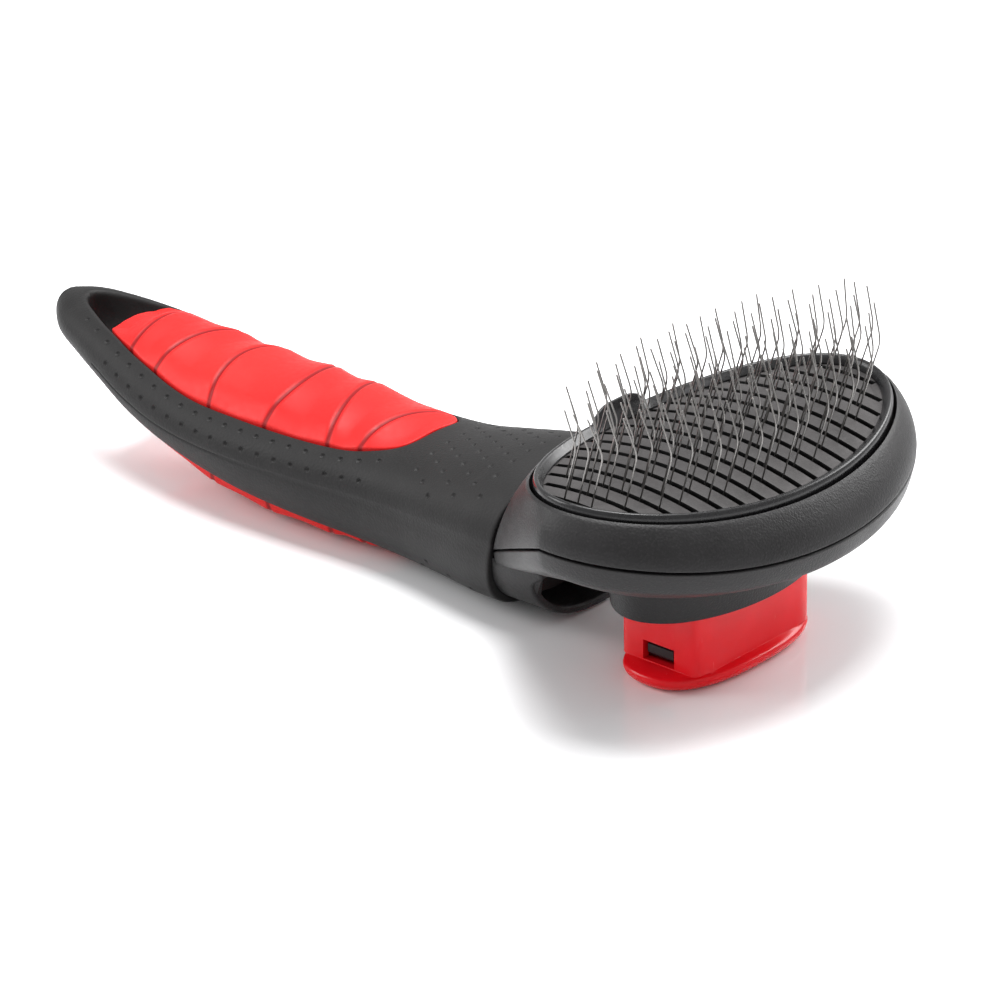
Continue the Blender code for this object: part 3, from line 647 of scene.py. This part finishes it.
def pin(foot, knee, tip):
    """A round wire with a bent knee and a blunt rounded tip."""
    lower, upper = knee - foot, tip - knee
    lower_way, upper_way = lower / np.linalg.norm(lower), upper / np.linalg.norm(upper)
    path = [foot, foot + lower * 0.5]
    for k in range(6):
        t = k / 5
        a, b = knee - lower_way * KNEE_RADIUS, knee + upper_way * KNEE_RADIUS
        path.append((1 - t) ** 2 * a + 2 * t * (1 - t) * knee + t * t * b)
    path += [knee + upper * 0.6]
    radii = [PIN_RADIUS] * len(path)
    for back, share in ((0.16, 1.0), (0.07, 0.85), (0.02, 0.55), (0.0, 0.2)):
        path.append(tip - upper_way * back)
        radii.append(PIN_RADIUS * share)
    side = np.array((0.0, 1.0, 0.0))
    cosines, sines = circle(PIN_SIDES)
    loops = []
    for i, (at, radius) in enumerate(zip(path, radii)):
        way = path[min(i + 1, len(path) - 1)] - path[max(i - 1, 0)]
        way = way / np.linalg.norm(way)
        u = np.cross(side, way)
        u = u / np.linalg.norm(u)
        v = np.cross(way, u)
        loops.append(at + radius * (np.outer(cosines, u) + np.outer(sines, v)))
    return skin(loops)


def pins(finish):
    """Each row's wires, their tips a little out of line, and the wire that joins their feet."""
    chance = np.random.default_rng(5)
    for row in range(1, ROWS + 1):
        node = f"pin_row_{row:02d}"
        paths = [(foot, knee, tip + chance.uniform(-PIN_BEND, PIN_BEND, 3) * (1, 1, 0) - (PIN_BEND, 0, 0))
                 for foot, knee, tip in pin_paths(node)]
        parts = [pin(*path) for path in paths]
        around = PIN_RADIUS * np.stack((np.zeros(PIN_SIDES), *circle(PIN_SIDES)), axis=1)
        parts.append(skin([foot + around for foot, _, _ in paths]))
        piece(f"wire_pins_{row:02d}", *merged(parts), finish, "brush_body", "steel", node, sharp=60.0)


# --- handle ---


def smooth(stations, x):
    """A smooth curve through stations (x, value, value, ...), whose x falls."""
    i = 0
    while i < len(stations) - 2 and x < stations[i + 1][0]:
        i += 1
    left, right = stations[i], stations[i + 1]
    before, after = stations[max(i - 1, 0)], stations[min(i + 2, len(stations) - 1)]
    span = right[0] - left[0]
    part = min(max((x - left[0]) / span, 0.0), 1.0)
    values = []
    for k in range(1, len(left)):
        slope_in = (right[k] - before[k]) / (right[0] - before[0]) * span
        slope_out = (after[k] - left[k]) / (after[0] - left[0]) * span
        a = 2 * part**3 - 3 * part**2 + 1
        b = part**3 - 2 * part**2 + part
        c = -2 * part**3 + 3 * part**2
        d = part**3 - part**2
        values.append(a * left[k] + b * slope_in + c * right[k] + d * slope_out)
    return values


def outline_half(points, spans=40):
    """The side at +Y of a smooth closed outline through (x, half width) points, front to tail."""
    around = [(x, half) for x, half in points] + [(x, -half) for x, half in reversed(points[1:-1])]
    count = len(around)
    made = []
    for i in range(len(points) - 1):
        p0, p1, p2, p3 = (np.array(around[(i + k - 1) % count]) for k in range(4))
        for j in range(spans):
            t = j / spans
            made.append(0.5 * (2 * p1 + (p2 - p0) * t + (2 * p0 - 5 * p1 + 4 * p2 - p3) * t**2
                               + (3 * p1 - p0 - 3 * p2 + p3) * t**3))
    made.append(np.array(points[-1]))
    return np.array(made)


def spaced(curve, step):
    """Points at even steps along a curve."""
    return spread(curve, int(round(lengths(curve)[-1] / step)))


def distances(points, curve):
    """How far points in the plane are from a curve of points."""
    best = np.full(len(points), 1e9)
    for start, end in zip(curve[:-1], curve[1:]):
        way = end - start
        part = np.clip(((points - start) @ way) / max(way @ way, 1e-12), 0, 1)
        best = np.minimum(best, np.linalg.norm(points - start - part[:, None] * way, axis=1))
    return best


def tail_share(x):
    """How far the tail's tip is drawn in, to a round end."""
    near = max(0.0, (GRIP[-1][0] + TAIL_ROUND - x) / TAIL_ROUND)
    return math.sqrt(max(0.0, 1 - min(near, 1.0) ** 2))


def leaned(x, z):
    """The x of a point of the handle, moved forward where the flare leans."""
    share = max(0.0, (x - LEAN_END_X) / (GRIP[0][0] - LEAN_END_X))
    return x + share * NECK_LEAN * (z - GRIP[0][2])


def grip_point(x, degrees):
    """A point of the grip's skin, counted from the top middle towards +Y."""
    half, middle, rise, drop, under = smooth(GRIP, x)
    share = tail_share(x)
    shape = GRIP_SHAPE if degrees < 90 else under
    up, y = oval(half * share, 1.0, degrees, shape)
    z = middle + up * (rise if up > 0 else drop) * share
    return leaned(x, z), y, z


def edge_angles(x, y):
    """Where a line at y meets the grip's skin, above and below."""
    half, _, _, _, under = smooth(GRIP, x)
    share = min(y / (half * max(tail_share(x), 1e-6)), 1.0)
    return (math.degrees(math.asin(share ** (GRIP_SHAPE / 2))),
            180 - math.degrees(math.asin(share ** (under / 2))))


def lip(distance, radius):
    """How far a rounded edge has dropped at a distance from the edge."""
    near = np.clip(distance / radius, 0, 1)
    return radius * (1 - np.sqrt(1 - (1 - near) ** 2))


def grip_rows(edge):
    """The x of each row of the grip's skin, with the opening's half width there."""
    front, tail, end = edge[0, 0], edge[-1, 0], GRIP[-1][0]
    start = GRIP[0][0]
    before = [*np.linspace(start, front + 1.4, 56), *np.linspace(front + 1.4, front, 9)[1:-1]]
    after = [*np.linspace(tail, tail - 1.8, 10)[1:], *np.linspace(tail - 1.8, end + TAIL_ROUND, 10)[1:]]
    after += [end + TAIL_ROUND * (1 - math.sin(math.radians(a))) for a in range(9, 91, 9)]
    return [(x, 0.0) for x in before] + [tuple(point) for point in edge] + [(x, 0.0) for x in after]


def dimple_places():
    """Middles of the dimples: two rows on each side band, and a staggered grid on the flare."""
    places = []
    for side in (-1, 1):
        for inner, start, stop in DIMPLE_LANES:
            x = start
            while x > stop:
                edge = np.interp(-x, -OPENING_EDGE[:, 0], OPENING_EDGE[:, 1])
                low, _ = edge_angles(x, edge)
                px, py, pz = grip_point(x, low + (90 - low) * inner)
                places.append((px, side * py, pz))
                x -= DIMPLE_PITCH
    count, first_x, spacing = DIMPLE_LINES
    for line in range(count):
        x = first_x - spacing * line
        half = smooth(GRIP, x)[0]
        for k in range(-5, 6):
            y = (k + (0.5 if line % 2 else 0.0)) * DIMPLE_PITCH
            nearest = np.hypot(OPENING_EDGE[:, 0] - x, OPENING_EDGE[:, 1] - abs(y)).min()
            if abs(y) > half * 0.93 or nearest < DIMPLE_MARGIN:
                continue
            for degrees in edge_angles(x, abs(y)):
                px, py, pz = grip_point(x, degrees)
                places.append((px, math.copysign(py, y), pz))
    return np.array(places)


OPENING_EDGE = spaced(outline_half(OPENING), 0.5)


def grip_frame(finish):
    """The black grip: the flare, two side bands with a rounded inner edge, and the hanging loop."""
    rows = grip_rows(OPENING_EDGE)
    columns = 45
    shares = [(i / columns) ** 1.35 for i in range(columns + 1)]
    points = []
    for x, y in rows:
        top, bottom = edge_angles(x, y)
        angles = [top + (90 - top) * share for share in shares]
        angles += [bottom - (bottom - 90) * share for share in reversed(shares[:-1])]
        points += [grip_point(x, degrees) for degrees in angles]
    points = np.array(points)
    size = 2 * columns + 1
    flat_x = np.repeat([row[0] for row in rows], size)
    near = distances(np.stack((flat_x, points[:, 1]), axis=1), OPENING_EDGE)
    radius = np.interp(flat_x, [INSERT_END_X - 1, INSERT_END_X + 5], [LOOP_LIP, OPENING_LIP])
    drop = lip(near, radius)
    column = np.tile(np.arange(size), len(rows))
    points[:, 2] += np.where(column <= columns, -drop, drop)
    points[:, 1] -= np.where(column == columns, CREASE_DEPTH, 0.0) * (flat_x > CREASE_END_X)
    ring = points[:size]
    middle = np.array((0.0, 0.0, NECK_MID_Z))
    front = [ring + (middle - ring) * (0, share, share) + (forward, 0, 0) for share, forward in FLARE_FACE]
    points = np.concatenate((*front, points))
    base_row = len(front)
    faces = []
    for row in range(len(rows) + base_row - 1):
        for i in range(size - 1):
            a = row * size + i
            faces.append((a, a + 1, a + size + 1, a + size))
    first = base_row + rows.index(tuple(OPENING_EDGE[0]))
    wall = []
    spans = 10
    for row in range(first, first + len(OPENING_EDGE)):
        high, low = points[row * size], points[row * size + size - 1]
        wall += [high + (low - high) * i / spans for i in range(spans + 1)]
    base = len(points)
    for row in range(len(OPENING_EDGE) - 1):
        for i in range(spans):
            a = base + row * (spans + 1) + i
            faces.append((a, a + spans + 1, a + spans + 2, a + 1))
    half_points = np.concatenate((points, wall))
    mirrored = half_points * (1, -1, 1)
    both = merged([(half_points, faces), (mirrored, [face[::-1] for face in faces])])
    obj = piece("grip_black", *both, finish, "brush_body", "black_rubber", "grip_frame", sharp=50.0)
    press_dimples(obj, dimple_places())


def press_dimples(obj, places):
    """Splits the faces round each dimple and presses the points in along their normals."""
    bm = bmesh.new()
    bm.from_mesh(obj.data)
    middles = np.array([face.calc_center_median() for face in bm.faces]) / MM
    chosen = set()
    faces = list(bm.faces)
    for place in places:
        for index in np.nonzero(np.linalg.norm(middles - place, axis=1) < DIMPLE_RADIUS + 0.45)[0]:
            chosen.update(faces[index].edges)
    bmesh.ops.subdivide_edges(bm, edges=list(chosen), cuts=2, use_grid_fill=True)
    bm.normal_update()
    verts = list(bm.verts)
    spots = np.array([vert.co for vert in verts]) / MM
    moves = {}
    for place in places:
        away = np.linalg.norm(spots - place, axis=1)
        for index in np.nonzero(away < DIMPLE_RADIUS)[0]:
            moves[index] = DIMPLE_DEPTH * (1 - (away[index] / DIMPLE_RADIUS) ** 2) ** 0.7
    for index, depth in moves.items():
        verts[index].co -= verts[index].normal * depth * MM
    bm.to_mesh(obj.data)
    bm.free()
    obj.data.shade_smooth()


def groove_x(groove, y):
    """The x of a groove at one y: a curve through its three places."""
    near, middle, far = groove
    t = y / GROOVE_EDGE_Y
    return middle + (far - near) / 2 * t + ((far + near) / 2 - middle) * t * t


def relief(x, y):
    """How far the insert stands out: a hump at each groove, and the groove itself."""
    lines = sorted((groove_x(groove, y) for groove in GROOVES), reverse=True)
    spans = [(lines[0] + 13.0, lines[0])] + list(zip(lines, lines[1:])) + [(lines[-1], lines[-1] - 11.0)]
    height = 0.0
    for left, right in spans:
        if right <= x <= left:
            part = (left - x) / (left - right)
            height = HUMP * (abs(2 * part - 1) ** 1.5 - 0.3)
    return height - GROOVE_DEPTH * groove_share(x, y)


def groove_share(x, y):
    """1 in the middle of a groove, and 0 away from it."""
    near = min(abs(x - groove_x(groove, y)) for groove in GROOVES)
    return math.exp(-((near / GROOVE_WIDTH) ** 2) * 1.6)


def insert_height(x, y, under, along):
    """How far the plain insert reaches above or below the grip's widest line."""
    half, _, rise, _, _ = smooth(GRIP, x)
    reach = min(y / (half * INSERT_NARROW), 1.0)
    swell = math.sin(math.pi * along) ** 0.8
    if under:
        return skirt_height(x, y, True) + INSERT_UNDER_PROUD * swell
    length, start = INSERT_TAIL
    back = 1 - min(max((x - INSERT_END_X) / length, 0.0), 1.0)
    slope = start + (1 - start) * math.sqrt(1 - back**2)
    return (rise + INSERT_PROUD * swell) * math.sqrt(1 - reach**2) * slope


def skirt_height(x, y, under):
    """How far the black grip's skin reaches above or below its widest line."""
    half, _, rise, drop, under_shape = smooth(GRIP, x)
    shape = under_shape if under else GRIP_SHAPE
    return (drop if under else rise) * (1 - min(y / half, 1.0) ** shape) ** (1 / shape)


def grip_insert(finish):
    """The red soft insert, with humps and slanted grooves, above and below."""
    outline = [p for p in OPENING if p[0] > INSERT_END_X + 4]
    outline += [(INSERT_END_X + 0.6, 7.2), (INSERT_END_X, 3.0), (INSERT_END_X, 0.0)]
    inset = []
    for x, half in outline:
        inward = GAP * (-1 if x > -110 else 1) * (1.0 if half < 1.0 else 0.3)
        inset.append((x + inward, max(half - GAP, 0.0)))
    edge = spaced(outline_half(inset), 0.22)
    across = 84
    shares = [math.sin(math.radians(90 * (2 * i / across - 1))) * 0.75 + (2 * i / across - 1) * 0.25
              for i in range(across + 1)]
    front = OPENING[0][0]
    layers = {}
    flat = np.array([(x, half * share) for x, half in edge for share in shares])
    near = distances(flat * (1, 0) + np.abs(flat * (0, 1)), edge)
    for under in (False, True):
        points = []
        for (x, y), gap in zip(flat, near):
            middle = smooth(GRIP, x)[1]
            along = min(max((x - front) / (INSERT_END_X - front), 0.0), 1.0)
            height = insert_height(x, abs(y), under, along)
            raised = relief(x, y) * (0.5 + 0.5 * min(gap / RELIEF_FADE, 1.0))
            rim = np.interp(-x, -edge[:, 0], edge[:, 1])
            flush = skirt_height(x, rim, under) - INSERT_SUNK
            own = insert_height(x, rim, under, along)
            pull = (1 - min(gap / INSERT_BLEND[under], 1.0)) ** 2
            if not under:
                flush = min(flush, own + 1.5)
            height += (flush - own) * pull + raised
            height -= lip(gap, INSERT_LIP)
            z = middle - height if under else middle + height
            points.append((leaned(x, z), y, z))
        layers[under] = np.array(points)
    size = across + 1
    count = len(edge)
    total = count * size
    faces = []
    for row in range(count - 1):
        for i in range(size - 1):
            a = row * size + i
            faces.append((a, a + 1, a + size + 1, a + size))
            faces.append((total + a, total + a + size, total + a + size + 1, total + a + 1))
        for i in (0, size - 1):
            a, b = row * size + i, (row + 1) * size + i
            faces.append((a, b, total + b, total + a))
    points = np.concatenate((layers[False], layers[True]))
    points[:, 2] = np.maximum(points[:, 2], 0.1)
    obj = piece("grip_red", points, faces, finish, "brush_body", "red_rubber", "grip_insert", sharp=75.0)
    # The groove attribute marks where the grooves get their painted shade.
    groove_shade = obj.data.attributes.new("groove", "FLOAT", "POINT")
    for vert, value in zip(obj.data.vertices, groove_shade.data):
        value.value = groove_share(vert.co.x / MM, vert.co.y / MM)


# --- materials ---


class Nodes:
    """A small writer of node trees."""

    def __init__(self, name):
        self.material = bpy.data.materials.new(name)
        self.material.use_nodes = True
        self.tree = self.material.node_tree
        self.shader = self.tree.nodes["Principled BSDF"]
        self.coords = self.tree.nodes.new("ShaderNodeTexCoord").outputs["Object"]

    def add(self, kind, **values):
        node = self.tree.nodes.new(kind)
        for key, value in values.items():
            setattr(node, key, value)
        return node

    def fill(self, node, **values):
        """Sets a node's inputs by name, with _ for a space."""
        for key, value in values.items():
            node.inputs[key.replace("_", " ")].default_value = value

    def set(self, **values):
        """Sets the shader's inputs."""
        self.fill(self.shader, **values)

    def link(self, source, target):
        """Links to a socket, or to the shader's input of that name."""
        self.tree.links.new(source, self.shader.inputs[target] if isinstance(target, str) else target)

    def stretched(self, scale):
        mapping = self.add("ShaderNodeMapping")
        self.fill(mapping, Scale=scale)
        self.link(self.coords, mapping.inputs["Vector"])
        return mapping.outputs["Vector"]

    def noise(self, size, detail=3.0, rough=0.5, vector=None):
        """Noise whose blotches are about size millimetres wide."""
        node = self.add("ShaderNodeTexNoise")
        self.fill(node, Scale=1.0 / (size * MM), Detail=detail, Roughness=rough)
        self.link(vector or self.coords, node.inputs["Vector"])
        return node.outputs["Fac"]

    def cells(self, size):
        node = self.add("ShaderNodeTexVoronoi")
        self.fill(node, Scale=1.0 / (size * MM))
        self.link(self.coords, node.inputs["Vector"])
        return node.outputs["Distance"]

    def span(self, source, low, high, start=0.3, stop=0.7):
        """Carries start..stop of a source over to low..high."""
        node = self.add("ShaderNodeMapRange")
        self.fill(node, From_Min=start, From_Max=stop, To_Min=low, To_Max=high)
        self.link(source, node.inputs["Value"])
        return node.outputs["Result"]

    def blend(self, factor, a, b):
        """A colour between two colours or colour sockets."""
        node = self.add("ShaderNodeMix", data_type="RGBA")
        self.link(factor, node.inputs["Factor"])
        for value, socket in zip((a, b), [s for s in node.inputs if s.type == "RGBA"]):
            if isinstance(value, tuple):
                socket.default_value = (*value, 1.0)
            else:
                self.link(value, socket)
        return [s for s in node.outputs if s.type == "RGBA"][0]

    def total(self, a, b, share):
        """a and a share of b."""
        node = self.add("ShaderNodeMath", operation="MULTIPLY_ADD")
        self.link(b, node.inputs[0])
        node.inputs[1].default_value = share
        self.link(a, node.inputs[2])
        return node.outputs[0]

    def edge_highlight(self):
        """A painted highlight: bright along sharp outer edges."""
        pointy = self.add("ShaderNodeNewGeometry").outputs["Pointiness"]
        return self.span(pointy, 0.0, 1.0, 0.52, 0.6)

    def bump(self, height, depth, strength=1.0):
        node = self.add("ShaderNodeBump")
        self.fill(node, Strength=strength, Distance=depth * MM)
        self.link(height, node.inputs["Height"])
        self.link(node.outputs["Normal"], "Normal")


def grained_plastic(name, colour, light, roughness, grain, depth, edge_highlight_strength=0.5, shine=0.34, walls=1.0):
    """Moulded plastic with a fine spark-eroded grain, faint mottling, a painted highlight along sharp edges
    and painted shade on walls that do not face up.
    """
    n = Nodes(name)
    n.set(Specular_IOR_Level=shine)
    fine = n.noise(grain, 2.0, 0.6)
    broad = n.noise(14.0, 4.0)
    base = n.blend(n.span(broad, 0.0, 1.0), colour, light)
    specks = n.blend(n.span(fine, 0.0, 0.35, 0.5, 0.75), base, tuple(c * 2.2 for c in light))
    # Painted highlight: sharp outer edges are painted lighter, as if they caught the light.
    edge = n.span(n.edge_highlight(), 0.0, edge_highlight_strength, 0.0, 1.0)
    painted = n.blend(edge, specks, tuple(c * 2.6 for c in light))
    # Painted shade: faces that do not face up, such as the slot walls, are painted darker by the walls share.
    if walls < 1.0:
        split = n.add("ShaderNodeSeparateXYZ")
        n.link(n.add("ShaderNodeNewGeometry").outputs["Normal"], split.inputs[0])
        wall_shade_mask = n.span(split.outputs["Z"], 0.0, 1.0, 0.5, 0.8)
        painted = n.blend(wall_shade_mask, tuple(c * walls for c in colour), painted)
    n.link(painted, "Base Color")
    rough = n.span(n.total(broad, fine, 0.6), roughness - 0.07, roughness + 0.09, 0.55, 1.05)
    n.link(rough, "Roughness")
    n.bump(fine, depth)
    return n.material


def soft_black(name):
    """Soft-touch rubber with a fine leathery grain."""
    n = Nodes(name)
    cells = n.cells(0.55)
    fine = n.noise(0.22, 3.0, 0.6)
    height = n.total(cells, fine, 0.7)
    broad = n.noise(18.0, 4.0)
    base = n.blend(n.span(broad, 0.0, 1.0), (0.0060, 0.0056, 0.0057), (0.0100, 0.0093, 0.0095))
    dust = n.span(n.noise(5.0, 6.0, 0.7), 0.0, 0.25, 0.52, 0.75)
    n.link(n.blend(dust, base, (0.024, 0.0225, 0.0225)), "Base Color")
    n.link(n.span(broad, 0.5, 0.62), "Roughness")
    n.set(Specular_IOR_Level=0.26, Sheen_Weight=0.02, Sheen_Roughness=0.5)
    n.bump(height, 0.05, 0.75)
    return n.material


def soft_red(name):
    """Satin soft rubber in red, with a faint grain and painted shade in its grooves."""
    n = Nodes(name)
    broad = n.noise(22.0, 3.0)
    fine = n.noise(0.3, 3.0, 0.6)
    base = n.blend(n.span(broad, 0.0, 1.0), (0.58, 0.010, 0.010), (0.66, 0.016, 0.014))
    # Painted shade: the grooves are painted a darker red.
    hollow = n.span(n.add("ShaderNodeAttribute", attribute_name="groove").outputs["Fac"], 0.0, 0.9, 0.1, 0.8)
    n.link(n.blend(hollow, base, (0.17, 0.0005, 0.002)), "Base Color")
    n.link(n.span(n.noise(1.5, 4.0), 0.40, 0.52), "Roughness")
    n.set(Subsurface_Weight=0.12, Subsurface_Scale=0.0015, Subsurface_Radius=(1.0, 0.25, 0.15),
          Specular_IOR_Level=0.22)
    n.bump(fine, 0.02, 0.6)
    return n.material


def gloss_red(name):
    """Glossy moulded red plastic with a faint ripple and fine scuffs."""
    n = Nodes(name)
    broad = n.noise(9.0, 3.0)
    base = n.blend(n.span(broad, 0.0, 1.0), (0.80, 0.006, 0.012), (0.88, 0.008, 0.016))
    n.link(base, "Base Color")
    scuffs = n.noise(0.8, 5.0, 0.7, n.stretched((1.0, 1.0, 0.15)))
    n.link(n.span(scuffs, 0.17, 0.30, 0.4, 0.75), "Roughness")
    n.set(Specular_IOR_Level=0.28, Subsurface_Weight=0.05, Subsurface_Scale=0.001,
          Subsurface_Radius=(1.0, 0.2, 0.1))
    n.bump(n.noise(3.5, 2.0), 0.02, 0.5)
    return n.material


def wire_steel(name, colour, roughness):
    """Bright drawn wire, with streaks along it."""
    n = Nodes(name)
    streaks = n.noise(0.12, 3.0, 0.6, n.stretched((1.0, 1.0, 0.06)))
    dull = tuple(c * 0.72 for c in colour)
    n.link(n.blend(n.span(streaks, 0.0, 1.0), dull, colour), "Base Color")
    n.link(n.span(streaks, roughness - 0.06, roughness + 0.1), "Roughness")
    n.set(Metallic=1.0)
    n.bump(streaks, 0.004, 0.5)
    return n.material


def pale_floor(name):
    """Smooth white acrylic that reflects a little."""
    n = Nodes(name)
    n.set(Base_Color=(0.93, 0.93, 0.94, 1.0), Specular_IOR_Level=0.5)
    n.link(n.span(n.noise(60.0, 2.0), 0.10, 0.16), "Roughness")
    return n.material


# --- stage ---


def floor():
    mesh = bpy.data.meshes.new("floor")
    half, z = FLOOR
    corners = [(-half, -half, z), (half, -half, z), (half, half, z), (-half, half, z)]
    mesh.from_pydata(corners, [], [(0, 1, 2, 3)])
    mesh.materials.append(pale_floor("floor_white"))
    placed("floor", mesh)


def area_light(name, at, aim, size, power):
    """A white lamp that faces a place. Its size is in millimetres and its power in watts."""
    data = bpy.data.lights.new(name, "AREA")
    data.shape = "RECTANGLE"
    data.size, data.size_y = (value * MM for value in size)
    data.energy = power
    light = placed(name, data)
    light.location = Vector(at) * MM
    way = (Vector(aim) - Vector(at)).normalized()
    light.rotation_euler = way.to_track_quat("-Z", "Y").to_euler()


def lights():
    bpy.context.scene.view_settings.view_transform = "Standard"
    world = bpy.data.worlds.new("studio")
    world.use_nodes = True
    background = world.node_tree.nodes["Background"]
    background.inputs["Color"].default_value = (1.0, 1.0, 1.0, 1.0)
    background.inputs["Strength"].default_value = 0.62
    bpy.context.scene.world = world
    area_light("top_soft", (-60, 60, 620), (-50, 0, 20), (420, 340), 6.0)
    area_light("left_soft", (-520, -360, 330), (-60, 0, 15), (360, 300), 2.0)
    area_light("back_soft", (120, 620, 380), (-20, 0, 20), (520, 260), 3.5)


def camera():
    data = bpy.data.cameras.new("camera")
    data.lens = CAMERA_LENS
    data.sensor_width = 36.0
    data.clip_end = 20.0
    obj = placed("camera", data)
    start, aim = Vector(CAMERA_FROM) * MM, Vector(CAMERA_AIM) * MM
    obj.location = start
    turn = (aim - start).to_track_quat("-Z", "Y").to_matrix().to_4x4()
    turn = turn @ Matrix.Rotation(math.radians(CAMERA_ROLL), 4, "Z")
    obj.rotation_euler = turn.to_euler()
    bpy.context.scene.camera = obj


def repaint(node, finish, edge=0.0):
    """Gives a CAD node a finer material, and softer edges where they show."""
    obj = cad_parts[node]
    obj.data.materials.clear()
    obj.data.materials.append(finish)
    if edge:
        soften(obj, edge, 3)


def main():
    shell = grained_plastic("shell_charcoal", (0.0085, 0.0080, 0.0084), (0.0150, 0.0142, 0.0148), 0.44,
                            0.42, 0.11, 0.25, 0.3)
    core_black = grained_plastic("core_black", (0.008, 0.008, 0.0085), (0.013, 0.0125, 0.013), 0.5,
                                 0.4, 0.03)
    # The walls value paints the slot walls dark as shade.
    plate_grey = grained_plastic("plate_grey", (0.026, 0.0245, 0.0245), (0.042, 0.039, 0.039), 0.5,
                                 0.34, 0.06, 0.2, 0.3, walls=0.12)
    rim_black = grained_plastic("rim_black", (0.006, 0.006, 0.0065), (0.011, 0.0105, 0.0115), 0.28,
                                0.4, 0.012, 0.3, 0.45)
    black, red = soft_black("grip_black_rubber"), soft_red("grip_red_rubber")
    button_red = gloss_red("button_red")
    pin_steel = wire_steel("pin_steel", (0.30, 0.29, 0.28), 0.34)
    bright_steel = wire_steel("bright_steel", (0.62, 0.61, 0.60), 0.26)
    upper_housing(shell)
    lower_shell(shell)
    cleaning_plate(plate_grey)
    plate_rim(rim_black)
    button(button_red)
    spring(bright_steel)
    pins(pin_steel)
    grip_frame(black)
    grip_insert(red)
    for node in ("pin_plate", "handle_core"):
        repaint(node, core_black)
    for node in ("push_leg_left", "push_leg_right"):
        repaint(node, core_black, 0.3)
    for node in (*(f"plate_screw_{k}" for k in range(1, 5)), "neck_screw_left", "neck_screw_right"):
        repaint(node, bright_steel)
    floor()
    lights()
    camera()


main()
